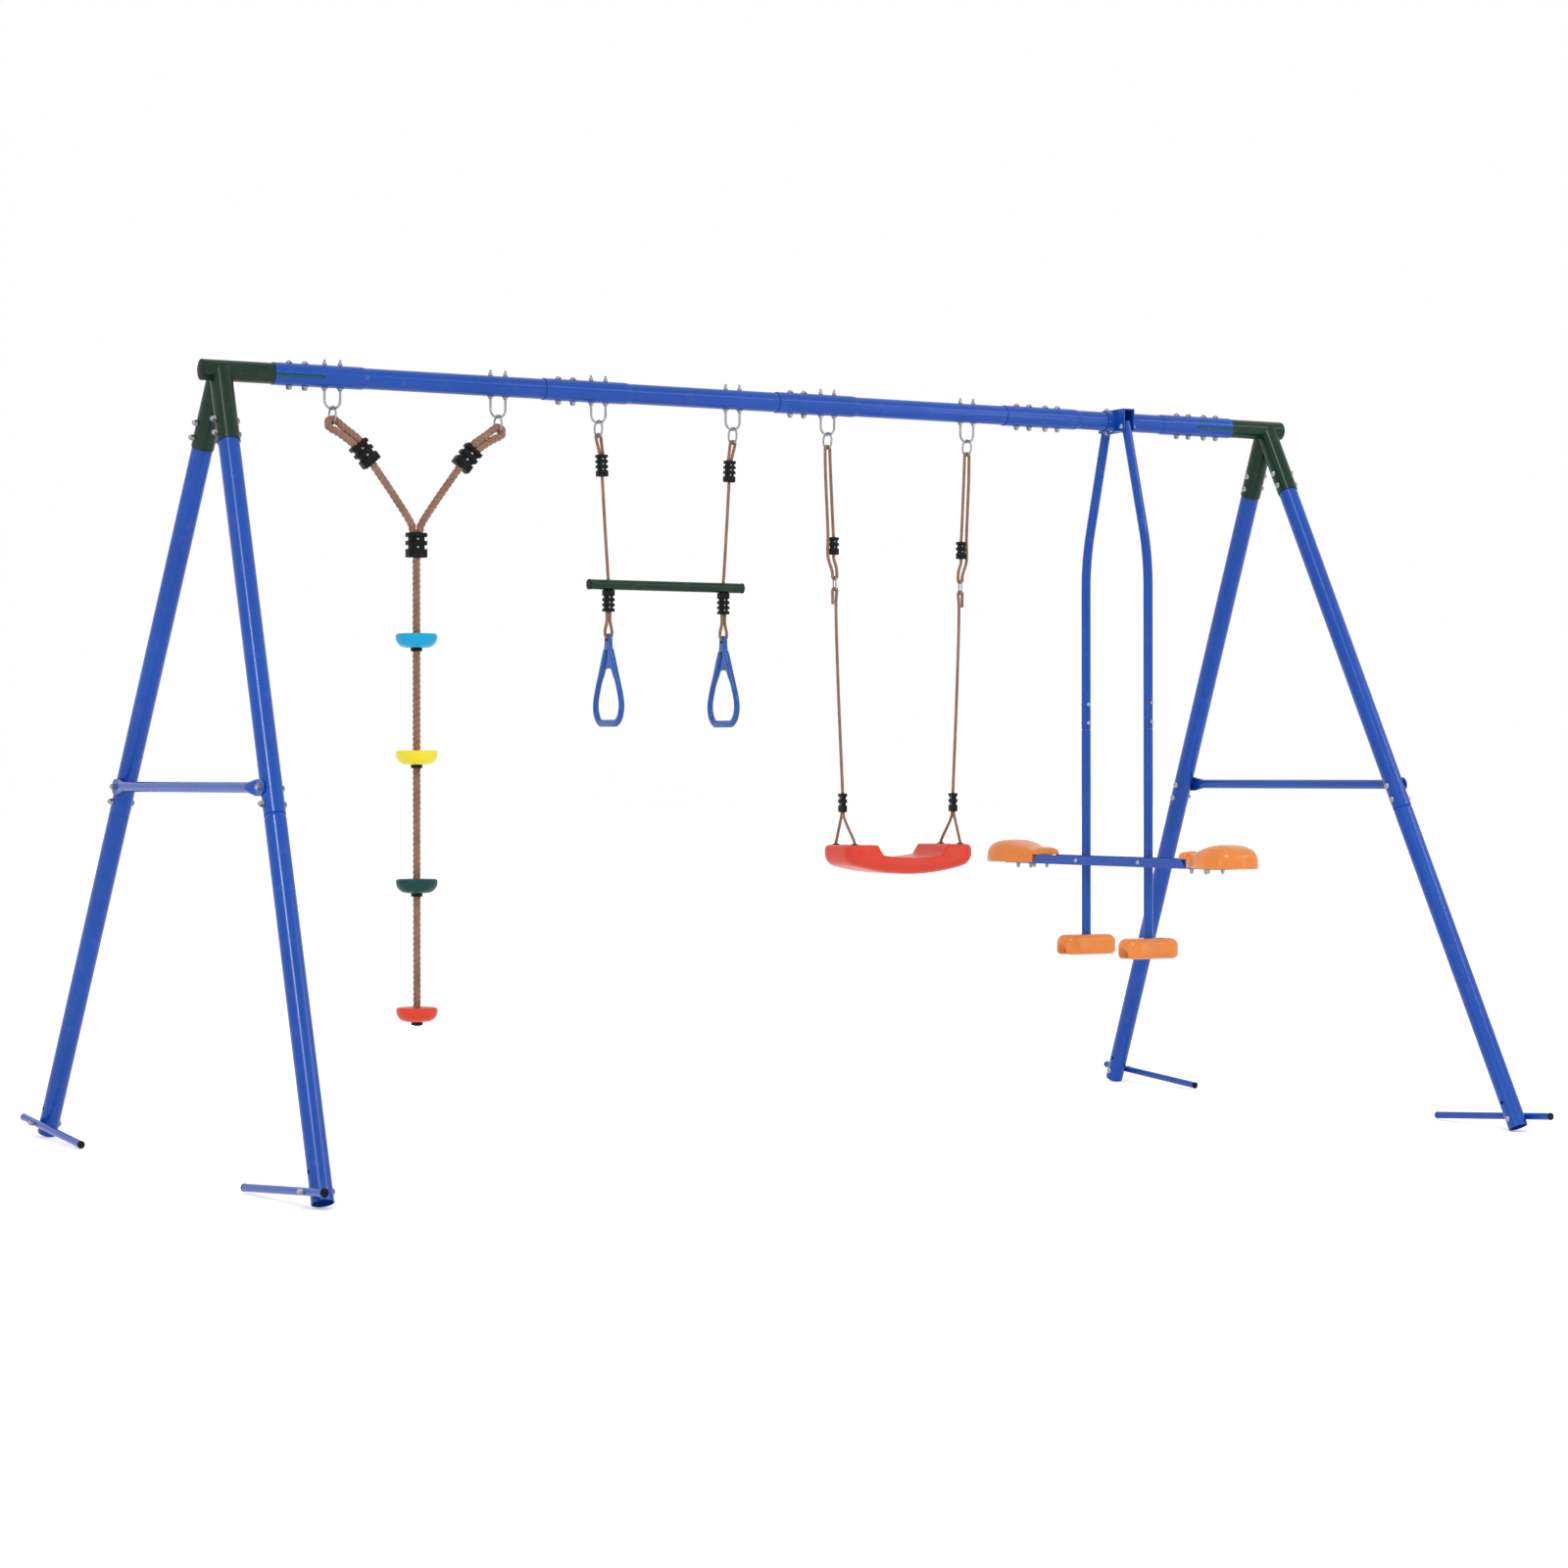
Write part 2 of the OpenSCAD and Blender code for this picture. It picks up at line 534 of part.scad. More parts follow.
trap_x = (hang[2] + hang[3]) / 2;
thin_r = thin_rope / 2;
eye_r = thin_r + ring_wire / 2 + 0.3;
eye_c = link_z - link_r;                 // height of a ring's lower wire
t_clamp_h = 54;
t_top = [trapeze_w / 2 - 8.5, 1706];     // clamp's upper face, x from the middle
t_low = [trapeze_w / 2 - 8.5 - 2, 1652];
t_tilt = atan2(t_top[0] - t_low[0], t_top[1] - t_low[1]);
eye_pts = concat([[-t_top[0] - thin_r - 0.1, 0, t_top[1] + gap]],
  turn([-trapeze_w / 2, eye_c], eye_r, 180, 0),
  [[-t_top[0] + thin_r + 0.1, 0, t_top[1] + gap]]);
hang_pts = [[-t_low[0], 0, t_low[1] - 0.7], [-bar_holes / 2 - 1, 0, bar_z + 22], [-bar_holes / 2, 0, bar_z + bar_d / 2],
  [-bar_holes / 2, 0, bar_z - bar_d / 2]];
drop_top = bar_z - bar_d / 2 - 0.2;      // lower clamp's upper face
drop_low = drop_top - 54;
hole_z = 1253;                           // middle of the hand ring's hole
grip_hole = 8;
tab_t = 10;
drop_w = tab_t / 2 + thin_r + 0.4;
drop_pts = concat([[-thin_r - 0.2, 0, drop_low - gap], [-thin_r - 0.2, 0, drop_low - gap - thin_r],
  [-thin_r - 0.4, 0, drop_low - 24], [-drop_w, 0, hole_z + 18]],
  turn([0, hole_z + 0.8 + drop_w], drop_w, 180, 360),
  [[drop_w, 0, hole_z + 18], [thin_r + 0.4, 0, drop_low - 24], [thin_r + 0.2, 0, drop_low - gap - thin_r],
  [thin_r + 0.2, 0, drop_low - gap]]);
drop_r = concat([0.5], [for (i = [1:len(drop_pts) - 2]) thin_r], [0.5]);

module both_sides(x) for (m = [0, 1]) translate([x, 0, 0]) mirror([m, 0, 0]) children();

// Hand ring in the YZ plane, its hole's middle at the origin
grip_top = 13;
grip_k = (grip_h - grip_top) / 220;
grip_out = [[7, 11], [13, 2], [14, -14], [20, -28], [30, -50], [44, -82], [58, -112], [69, -137],
  [75, -157], [76, -172], [73, -188], [65, -203], [53, -214], [40, -220]];
grip_in = [[9, -75], [20, -84], [32, -95], [43, -110], [54, -134], [60, -150], [63, -166], [60, -182], [52, -195], [40, -202]];
function scaled(p) = [for (q = p) [q[0], q[1] * (q[1] < 0 ? grip_k : 1)]];
function loop_of(p) = concat(p, [for (i = [len(p) - 1:-1:0]) [-p[i][0], p[i][1]]]);
module grip(x) translate([x, 0, hole_z]) difference() {
  rotate([90, 0, 90]) difference() {
    union() {
      translate([0, 0, -grip_t / 2]) linear_extrude(grip_t) difference() {
        polygon(loop_of(scaled(grip_out)));
        polygon(loop_of(scaled([for (q = grip_in) q])));
        translate([-20, -26]) square([40, 50]);
      }
      translate([0, 0, -tab_t / 2]) linear_extrude(tab_t) intersection() {
        polygon(loop_of(scaled(grip_out)));
        translate([-20, -40]) square([40, 60]);
      }
    }
    for (s = [-1, 1]) translate([0, 0, s * (grip_t / 2 + 1)]) linear_extrude(12, center = true)
      polygon(loop_of(scaled([[2, -34], [8, -46], [13, -62], [8, -70]])));
  }
  x_bar(3 * grip_t, grip_hole);
}

/* ---- swing ---- */

swing_x = (hang[4] + hang[5]) / 2;
s_clamp_h = 45;
s_clamp = [swing_w / 2 - 18, 1523];      // adjuster's upper face
hook_h = 40;
hook_w = 17;
hook = [swing_w / 2 - 21, 1404];         // middle of the hook
hook_r = thin_r + 2 + 0.3;               // rope turn about the hook's 4 mm wire
hook_t = hook[1] + hook_h / 2 - 2;
hook_b = hook[1] - hook_h / 2 + 2;
low_top = [swing_w / 2 - 44, 866];       // lower clamp's upper face
low_h = 48;
hole_x = seat_len / 2 - 30;
hole_y = 47;
adj_pts = concat([[-s_clamp[0], 0, s_clamp[1] + 0.2], [-s_clamp[0] - 1, 0, s_clamp[1] + 12], [-swing_w / 2 + eye_r + 1, 0, eye_c - 30]],
  turn([-swing_w / 2, eye_c], eye_r, 0, 180),
  [[-swing_w / 2 - 6, 0, eye_c - 60], [-s_clamp[0] - 16.8, 0, s_clamp[1] + 6], [-s_clamp[0] - 16.6, 0, s_clamp[1] - s_clamp_h - 6],
    [-hook[0] - hook_r - 0.6, 0, hook_t + 12]],
  turn([-hook[0], hook_t], hook_r, 180, 360),
  [[-hook[0] + hook_r - 0.8, 0, hook_t + 20], [-s_clamp[0], 0, s_clamp[1] - s_clamp_h - 8],
    [-s_clamp[0], 0, s_clamp[1] - s_clamp_h - 0.2]]);
low_pts = concat([[-hook[0] - hook_r + 0.6, 0, hook_b - 34], [-hook[0] - hook_r, 0, hook_b - 8]],
  turn([-hook[0], hook_b], hook_r, 180, 0),
  [[-hook[0] + hook_r - 2, 0, hook_b - 22], [-hook[0] + thin_r, 0, hook_b - 60], [-low_top[0] - 0.4, 0, low_top[1] + 12],
    [-low_top[0], 0, low_top[1] + 0.2]]);
function split_pts(s) = [[-low_top[0], s * (thin_r + 0.1), low_top[1] - low_h - 0.2], [-low_top[0], s * (thin_r + 0.4), low_top[1] - low_h - 6],
  [-low_top[0] + 0.6, s * 12, low_top[1] - low_h - 22], [-hole_x - 1, s * (hole_y - 6), seat_z + 16],
  [-hole_x, s * hole_y, seat_z + 4], [-hole_x, s * hole_y, seat_z - 34]];

// Seat: dished top with raised wings, section swept along Y
seat_n = 38;
function ease(t) = t <= 0 ? 0 : t >= 1 ? 1 : t * t * (3 - 2 * t);
function seat_top(x) = seat_z - 33 + 33 * ease((abs(x) - 86) / 32) + 0.0009 * x * x;
function seat_low(x) = seat_z - 76 + 0.0008 * x * x;
module swing_seat() color([0.93, 0.29, 0.22]) translate([swing_x, 0, 0]) difference() {
  intersection() {
    rotate([90, 0, 0]) linear_extrude(seat_deep, center = true) offset(r = 14, $fn = 32) offset(delta = -14) polygon(concat(
      [for (i = [-seat_n:seat_n]) let (x = i / seat_n * seat_len / 2) [x, min(seat_top(x), seat_z)]],
      [for (i = [seat_n:-1:-seat_n]) let (x = i / seat_n * seat_len / 2) [x, seat_low(x)]]));
    translate([0, 0, seat_z - 100]) linear_extrude(120) offset(r = 40, $fn = 48)
      square([seat_len - 80, seat_deep - 80], center = true);
  }
  for (sx = [-1, 1]) for (sy = [-1, 1]) translate([sx * hole_x, sy * hole_y, seat_z - 90])
    cylinder(r = thin_r + gap, h = 120);
}

/* ---- glider ---- */

glider_x = mouth[3] + glider_at;
saddle_len = 84;
saddle_r = sleeve_in + 2.6;
saddle_off = 32;
brk_w = 34;
brk_t = 3;
brk_len = 118;
brk_top = beam_z + saddle_r;
pivot_z = beam_z - pivot_drop;
brk_low = pivot_z - 12;

module bracket() color(blue) difference() {
  union() {
    translate([0, 0, beam_z]) along_x(glider_x - saddle_len / 2, glider_x + saddle_len / 2, saddle_r);
    difference() {
      translate([glider_x - brk_w / 2, -brk_len / 2, brk_low]) cube([brk_w, brk_len, brk_top + brk_t - brk_low]);
      translate([glider_x - brk_w / 2 + brk_t, -brk_len / 2 - 1, brk_low - 1])
        cube([brk_w - 2 * brk_t, brk_len + 2, brk_top - brk_low + 0.5]);
    }
  }
  translate([0, 0, beam_z]) along_x(glider_x - saddle_len, glider_x + saddle_len, sleeve_in);
  for (s = [-1, 1]) translate([glider_x, s * pivot_y, pivot_z]) x_bar(2 * brk_w, bolt_d / 2 + hole_gap);
  for (s = [-1, 1]) translate([glider_x + s * saddle_off, 0, beam_z])
    cylinder(d = bolt_d + 2 * hole_gap, h = 3 * tube_d, center = true);
}

module bracket_bolts() color(zinc) {
  for (s = [-1, 1]) translate([glider_x + s * saddle_off, 0, 0]) {
    translate([0, 0, beam_z + saddle_r]) dome_bolt(bolt_d, 2 * saddle_r + 10, head_d - 2, head_h);
    translate([0, 0, beam_z - saddle_r - skin]) mirror([0, 0, 1]) hex_nut(bolt_d, 13, 6.5);
  }
  for (s = [-1, 1]) translate([glider_x - brk_w / 2, s * pivot_y, pivot_z]) {
    rotate([0, -90, 0]) dome_bolt(bolt_d, brk_w + 9, head_d - 3, head_h - 1);
    translate([brk_w + skin, 0, 0]) rotate([0, 90, 0]) hex_nut(bolt_d, 13, 6.5);
  }
}

// Hanger line in the YZ plane: straight and leaning at the top, one bow, then upright
lean = 15.6;
bow_r = 574;
top_run = (low_y - pivot_y - bow_r * (1 - cos(lean))) / sin(lean);
bow_z = pivot_z - top_run * cos(lean) - bow_r * sin(lean);
seam_z = 1038;
hanger_bolt_z = [seam_z + 16, seam_z + 66];
spig_z = seam_z + 100;
rest_top = rest_z + rest_h / 2;
hanger_low = rest_z - 6;

// Line of the upper hanger on the +Y side, ext past the pivot and past below the seam
bow_n = 8;
function hanger_pts(ext, past) = concat(
  [[glider_x, pivot_y - ext * sin(lean), pivot_z + ext * cos(lean)]],
  [for (i = [0:bow_n]) let (t = lean * (1 - i / bow_n))
    [glider_x, low_y - bow_r + bow_r * cos(t), bow_z + bow_r * sin(t)]],
  [[glider_x, low_y, seam_z - past]]);
module hanger_rod(r, ext, past = 0) {
  p = hanger_pts(ext, past);
  rope_tube(p, flat_r(p, r), k = 32);
}
module upper_hanger() difference() {
  hanger_rod(hanger_d / 2, 12);
  hanger_rod(hanger_d / 2 - hanger_wall, 15, 5);
  translate([glider_x, pivot_y, pivot_z]) x_bar(2 * hanger_d, bolt_d / 2 + turn_gap);
  for (z = hanger_bolt_z) translate([glider_x, low_y, z]) y_bar(2 * hanger_d, 3 + hole_gap);
}
spig_r = hanger_d / 2 - hanger_wall - 0.25;
open_r = 7.4;       // the opened pivot's clearance hole in the rear hanger
module lower_hanger(pin_r) difference() {
  translate([glider_x, low_y, 0]) rotate_extrude($fn = 48) polygon([
    [hanger_d / 2 - hanger_wall - 0.6, hanger_low], [hanger_d / 2, hanger_low], [hanger_d / 2, seam_z - 4],
    [spig_r, seam_z - 0.3], [spig_r, spig_z], [spig_r - hanger_wall, spig_z], [spig_r - hanger_wall, seam_z - 6]]);
  for (z = hanger_bolt_z) translate([glider_x, low_y, z]) y_bar(2 * hanger_d, 3 + hole_gap);
  translate([glider_x, low_y, low_z]) x_bar(2 * hanger_d, pin_r);
}
module hanger_bolts() for (z = hanger_bolt_z) translate([glider_x, low_y, z]) {
  translate([0, -hanger_d / 2, 0]) rotate([90, 0, 0]) dome_bolt(6, hanger_d + 7, 12, 4);
  translate([0, hanger_d / 2 + skin, 0]) rotate([-90, 0, 0]) cap_nut(6, 10, 8);
}

// Seat beam: open channel, its floor runs on under both seats
web_z = low_z - beam_h / 2;
cut_top = 334;
cut_low = 355;
plate_y = seat_y + 85;
seat_bolts = [27, 31];
module seat_beam() color(blue) difference() {
  translate([glider_x - beam_w / 2, 0, web_z]) rotate([90, 0, 90]) linear_extrude(beam_w)
    polygon([[-plate_y, 0], [plate_y, 0], [plate_y, beam_t], [cut_low, beam_t], [cut_top, beam_h],
      [-cut_top, beam_h], [-cut_low, beam_t], [-plate_y, beam_t]]);
  translate([glider_x - beam_w / 2 + beam_t, -plate_y, web_z + beam_t]) cube([beam_w - 2 * beam_t, 2 * plate_y, beam_h]);
  for (s = [-1, 1]) {
    translate([glider_x - hanger_d / 2 - 1, s * low_y - 19, web_z - 1]) cube([hanger_d + 2, 38, beam_t + 2]);
    translate([glider_x, s * low_y, low_z]) x_bar(2 * beam_w, bolt_d / 2 + hole_gap);
    for (i = [-1, 1]) for (j = [-1, 1])
      translate([glider_x + i * seat_bolts[0], s * seat_y + j * seat_bolts[1], web_z - 1]) cylinder(r = 3.4, h = 8);
  }
}
module seat_beam_bolts() color(zinc) for (s = [-1, 1]) {
  translate([glider_x, s * low_y, low_z]) {
    translate([-beam_w / 2, 0, 0]) rotate([0, -90, 0]) dome_bolt(bolt_d, beam_w + 9, head_d - 4, head_h - 1.5);
    translate([beam_w / 2 + skin, 0, 0]) rotate([0, 90, 0]) hex_nut(bolt_d, 13, 6.5);
    for (i = [-1, 1]) rotate([0, i * 90, 0]) translate([0, 0, hanger_d / 2 + 0.3]) difference() {
      cylinder(r = 8, h = beam_w / 2 - beam_t - hanger_d / 2 - 0.5);
      translate([0, 0, -1]) cylinder(r = bolt_d / 2 + skin, h = beam_w);
    }
  }
  for (i = [-1, 1]) for (j = [-1, 1])
    translate([glider_x + i * seat_bolts[0], s * seat_y + j * seat_bolts[1], web_z]) {
      translate([0, 0, -13]) cylinder(r = 3, h = 25);
      mirror([0, 0, 1]) translate([0, 0, skin]) { washer(6, 12, 1.2); translate([0, 0, 1.2]) hex_nut(6, 10, 9); }
    }
}

// Glider seat: stations of [y, half width, top height] from the nose to the outer end
seat_in = seat_y - 96;
seat_st = [[0, 18, 24], [6, 27, 35], [16, 32, 41], [30, 34, 43], [46, 34, 41], [60, 36, 38], [80, 44, 40],
  [105, 58, 47], [135, 70, 55], [162, 75, 60], [185, 76, 61.5], [207, 73, 60], [228, 65, 55], [243, 52, 48],
  [254, 36, 37], [260, 18, 24]];
seat_k = 24;
function boxy(v, e) = sign(v) * pow(abs(v), e);
module glider_seat() {
  n = len(seat_st);
  z0 = web_z + beam_t;
  pts = [for (s = seat_st) for (j = [0:seat_k]) let (a = 180 * j / seat_k)
    [glider_x + s[1] * boxy(cos(a), 0.68), seat_in + s[0], z0 + s[2] * pow(sin(a), 0.6) * (j % seat_k == 0 ? 0 : 1)]];
  m = seat_k + 1;
  difference() {
    polyhedron(points = pts, faces = concat(
      [for (i = [0:n - 2]) for (j = [0:m - 1])
        [i * m + j, i * m + (j + 1) % m, (i + 1) * m + (j + 1) % m, (i + 1) * m + j]],
      [[for (j = [m - 1:-1:0]) j]], [[for (j = [0:m - 1]) (n - 1) * m + j]]), convexity = 6);
    translate([glider_x - 60, seat_in - 20, z0 - 20]) cube([120, cut_low + 3 - seat_in + 20, 20 + beam_h - beam_t + gap]);
    for (i = [-1, 1]) for (j = [-1, 1])
      translate([glider_x + i * seat_bolts[0], seat_y + j * seat_bolts[1], z0 - 1]) cylinder(r = 3.1, h = 14.5);
  }
}

// Footrest: rounded bar along X with an arched mouth low at each end
module footrest() translate([glider_x, low_y, rest_z - rest_h / 2]) difference() {
  intersection() {
    hull() for (s = [-1, 1]) translate([s * (rest_len - rest_w) / 2, 0, 0]) rotate_extrude($fn = 32)
      polygon(concat([[0, 0]], [for (a = [-90:30:0]) [rest_w / 2 - 12 + 12 * cos(a), 12 + 12 * sin(a)]],
        [for (a = [0:18:90]) [rest_w / 2 - 20 + 20 * cos(a), rest_h - 20 + 20 * sin(a)]], [[0, rest_h]]));
    translate([-rest_len, -rest_w, 0]) cube([2 * rest_len, 2 * rest_w, rest_h]);
  }
  for (s = [-1, 1]) translate([s * (rest_len / 2 - 12), 0, -1]) rotate([90, 0, 90])
    linear_extrude(50, center = true) { translate([-22, -1]) square([44, 9]); translate([0, 7]) circle(r = 22); }
  translate([0, 0, rest_h / 2 - 6.3]) cylinder(r = hanger_d / 2 + gap, h = rest_h);
}

module rear() children();
module front() mirror([0, 1, 0]) children();

/* ---- nodes ---- */

color(green) corner(-1);  // corner_left
color(green) corner(1);  // corner_right
beam_1();  // beam_tube_1
beam_2();  // beam_tube_2
beam_3();  // beam_tube_3
beam_4();  // beam_tube_4
upper_leg(-1, -1);  // upper_leg_fl
upper_leg(-1, 1);  // upper_leg_rl
upper_leg(1, -1);  // upper_leg_fr
upper_leg(1, 1);  // upper_leg_rr
lower_leg(-1, -1);  // lower_leg_fl
lower_leg(-1, 1);  // lower_leg_rl
lower_leg(1, -1);  // lower_leg_fr
lower_leg(1, 1);  // lower_leg_rr
color(blue) for (s = [-1, 1]) crossbar(s);  // crossbars
color(blue)  // foot_bars
  for (sx = [-1, 1]) for (sy = [-1, 1]) at_foot_bar(sx, sy) foot_bar();
color(black) {  // end_caps
  for (s = [-1, 1]) end_cap(s);
  for (sx = [-1, 1]) for (sy = [-1, 1]) at_foot_bar(sx, sy) foot_caps();
}
color(zinc) frame_bolts();
color(zinc) frame_nuts();
color(zinc)  // u_bolts
  for (i = [0:5]) u_bolt(hang[i], hang_wide[i] ? sleeve_r : tube_r);

color(zinc)  // climber_rings
  for (i = [0, 1]) translate([hang[i], 0, link_z]) wire_ring(link_r, ring_wire);
color(rope) climber_left() climber_side();  // climber_rope_left
color(rope) climber_right() climber_side();  // climber_rope_right
color(black) {  // climber_clamps
  climber_left() climber_clamp();
  climber_right() climber_clamp();
  translate([climb_mid_x, 0, y_top]) rope_clamp(46, 24, y_top - tail_top, 19, 7);
}
color(rope)  // climber_tail
  translate([climb_mid_x, 0, 0]) rope_tube(tail_pts, tail_r, k = 12);
disc(0, [0.10, 0.70, 0.92]);  // disc_cyan
disc(1, [0.96, 0.90, 0.22]);  // disc_yellow
disc(2, [0.12, 0.38, 0.35]);  // disc_green
disc(3, [0.95, 0.28, 0.20]);  // disc_red
color(black) for (i = [0:3]) disc_stop(i);  // disc_stops

color(zinc)  // trapeze_rings
  for (i = [2, 3]) translate([hang[i], 0, link_z]) wire_ring(link_r, ring_wire);
color(rope) both_sides(trap_x) {  // trapeze_ropes
  rope_tube(eye_pts, flat_r(eye_pts, thin_r));
  rope_tube(hang_pts, flat_r(hang_pts, thin_r));
}
color(black) both_sides(trap_x) {  // trapeze_clamps
  translate([-t_top[0], 0, t_top[1]]) rotate([0, -t_tilt, 0]) rope_clamp(27, 17, t_clamp_h, 13);
  translate([-bar_holes / 2, 0, drop_low]) mirror([0, 0, 1]) rope_clamp(27, 17, drop_top - drop_low, 13);
}
color(green) translate([trap_x, 0, bar_z]) difference() {  // trapeze_bar
  x_bar(bar_len - 6, bar_d / 2);
  x_bar(bar_len + 6, bar_d / 2 - 1.5);
  for (s = [-1, 1]) translate([s * bar_holes / 2, 0, 0]) cylinder(r = thin_r + gap, h = 3 * bar_d, center = true);
}
color(black) both_sides(trap_x)  // trapeze_caps
  translate([-bar_len / 2, 0, bar_z]) {
    along_x(0, 3, bar_d / 2 + 0.6);
    along_x(2, 18, bar_d / 2 - 1.5 - 0.1);
  }
color(rope)  // drop_rope_left
  translate([trap_x - bar_holes / 2, 0, 0]) rope_tube(drop_pts, drop_r);
color(rope)  // drop_rope_right
  translate([trap_x + bar_holes / 2, 0, 0]) rope_tube(drop_pts, drop_r);
color(blue) grip(trap_x - bar_holes / 2);  // grip_left
color(blue) grip(trap_x + bar_holes / 2);  // grip_right

color(zinc) {  // swing_steel
  for (i = [4, 5]) translate([hang[i], 0, link_z]) wire_ring(link_r, ring_wire);
  both_sides(swing_x) translate([-hook[0], 0, hook[1]]) long_link(hook_w, hook_h, 4);
}
color(rope) both_sides(swing_x) {  // swing_ropes
  rope_tube(adj_pts, flat_r(adj_pts, thin_r));
  rope_tube(low_pts, flat_r(low_pts, thin_r));
  for (s = [-1, 1]) rope_tube(split_pts(s), flat_r(split_pts(s), thin_r), ref = [1, 0, 0]);
}
color(black) both_sides(swing_x) {  // swing_clamps
  translate([-s_clamp[0], 0, s_clamp[1]]) rope_clamp(24, 14, s_clamp_h, 12, 5);
  translate([-low_top[0], 0, low_top[1]]) rotate([0, 0, 90]) rope_clamp(24, 14, low_h, 12, 5);
}
swing_seat();

bracket();  // glider_bracket
bracket_bolts();
color(blue) front() upper_hanger();  // upper_hanger_front
color(blue) rear() upper_hanger();  // upper_hanger_rear
color(blue) front() lower_hanger(bolt_d / 2 + turn_gap);  // lower_hanger_front
color(blue) rear() lower_hanger(open_r);  // lower_hanger_rear
color(zinc) front() hanger_bolts();  // hanger_bolts_front
color(zinc) rear() hanger_bolts();  // hanger_bolts_rear
seat_beam();
seat_beam_bolts();
color(orange) front() glider_seat();  // glider_seat_front
color(orange) rear() glider_seat();  // glider_seat_rear
color(orange) front() footrest();  // footrest_front
color(orange) rear() footrest();  // footrest_rear
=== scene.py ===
# Metal swing set: disc climber, trapeze with hand rings, swing and two seat glider
import bpy, bmesh, json, math
from mathutils import Matrix, Vector


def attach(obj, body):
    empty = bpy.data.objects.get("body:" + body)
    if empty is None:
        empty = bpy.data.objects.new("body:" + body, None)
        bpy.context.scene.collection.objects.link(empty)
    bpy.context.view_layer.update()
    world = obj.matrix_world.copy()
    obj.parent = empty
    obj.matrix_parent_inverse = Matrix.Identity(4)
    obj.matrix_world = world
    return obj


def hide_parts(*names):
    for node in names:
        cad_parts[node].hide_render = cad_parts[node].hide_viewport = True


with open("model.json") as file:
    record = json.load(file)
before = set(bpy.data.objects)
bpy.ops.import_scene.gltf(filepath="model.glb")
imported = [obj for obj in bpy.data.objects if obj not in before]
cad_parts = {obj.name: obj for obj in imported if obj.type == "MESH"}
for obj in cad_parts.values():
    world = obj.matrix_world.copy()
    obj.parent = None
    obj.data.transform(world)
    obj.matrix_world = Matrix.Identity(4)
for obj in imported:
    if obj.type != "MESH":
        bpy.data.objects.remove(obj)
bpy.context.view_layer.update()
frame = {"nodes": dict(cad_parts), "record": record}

nodes = frame["nodes"]
scene = bpy.context.scene
print("stage: frame loaded,", len(nodes), "nodes")


def linked(name, data):
    # a new object in the scene
    item = bpy.data.objects.new(name, data)
    scene.collection.objects.link(item)
    return item


# Camera
cameraSpec = {"place": (-4.6482, -8.0601, 0.9127), "yaw": 29.9395, "pitch": -0.1355, "roll": -0.0618,
              "lens": 83.94, "sensor": 36.0}


def aimCamera(spec):
    data = bpy.data.cameras.new("viewCamera")
    data.lens, data.sensor_width, data.sensor_fit = spec["lens"], spec["sensor"], "HORIZONTAL"
    data.clip_start, data.clip_end = 0.1, 200.0
    turn = (Matrix.Rotation(math.radians(-spec["yaw"]), 4, "Z")
            @ Matrix.Rotation(math.radians(90 + spec["pitch"]), 4, "X")
            @ Matrix.Rotation(math.radians(spec["roll"]), 4, "Z"))
    scene.camera = linked("viewCamera", data)
    scene.camera.matrix_world = Matrix.Translation(spec["place"]) @ turn


aimCamera(cameraSpec)
print("stage: camera")

# Where things hang, in metres
layout = {"span": 3.05, "beam": 1.86, "mouthIn": 0.13, "tubes": (0.708, 0.658, 0.69), "firstBolt": 0.1525,
          "pairs": (0.434, 0.38, 0.424), "gliderAt": 0.364, "drop": 0.076, "boltWire": 0.006,
          "ringWire": 0.005, "ringAcross": 0.046}
mouthX = [-layout["span"] / 2 + layout["mouthIn"]]
for tubeLength in layout["tubes"]:
    mouthX.append(mouthX[-1] + tubeLength)
hangX = []
for start, pair in zip(mouthX, layout["pairs"]):
    hangX += [start + layout["firstBolt"], start + layout["firstBolt"] + pair]
hangZ = layout["beam"] - layout["drop"]
ringRadius = (layout["ringAcross"] - layout["ringWire"]) / 2
ringMiddle = hangZ + layout["boltWire"] / 2 + layout["ringWire"] / 2 + 0.0003 - ringRadius
ringLow = ringMiddle - ringRadius
climberX, trapezeX, swingX = ((hangX[i] + hangX[i + 1]) / 2 for i in (0, 2, 4))
gliderX = mouthX[3] + layout["gliderAt"]


# Small tools for node trees
def makeMaterial(name):
    material = bpy.data.materials.new(name)
    material.use_nodes = True
    tree = material.node_tree
    return material, tree, tree.nodes["Principled BSDF"]


def addNode(tree, kind, **settings):
    node = tree.nodes.new(kind)
    for key, value in settings.items():
        setattr(node, key, value)
    return node


def feed(tree, target, value):
    # a socket is linked, anything else is set as the value
    if isinstance(value, bpy.types.NodeSocket):
        tree.links.new(value, target)
    elif value is not None:
        target.default_value = value


def put(tree, kind, inputs, output=0, **settings):
    # a node with its inputs fed, seen as one of its outputs
    node = addNode(tree, kind, **settings)
    for key, value in inputs.items():
        feed(tree, node.inputs[key], value)
    return node.outputs[output]


def mathNode(tree, operation, a, b=None):
    return put(tree, "ShaderNodeMath", {0: a, 1: b}, operation=operation)


def vectorNode(tree, operation, a, b=None, scale=None):
    return put(tree, "ShaderNodeVectorMath", {0: a, 1: b, 3: scale}, operation=operation)


def objectPoint(tree):
    return addNode(tree, "ShaderNodeTexCoord").outputs["Object"]


def noiseOf(tree, vector, scale, detail=3.0, rough=0.5):
    return put(tree, "ShaderNodeTexNoise", {"Vector": vector, "Scale": scale, "Detail": detail,
                                            "Roughness": rough}, "Fac")


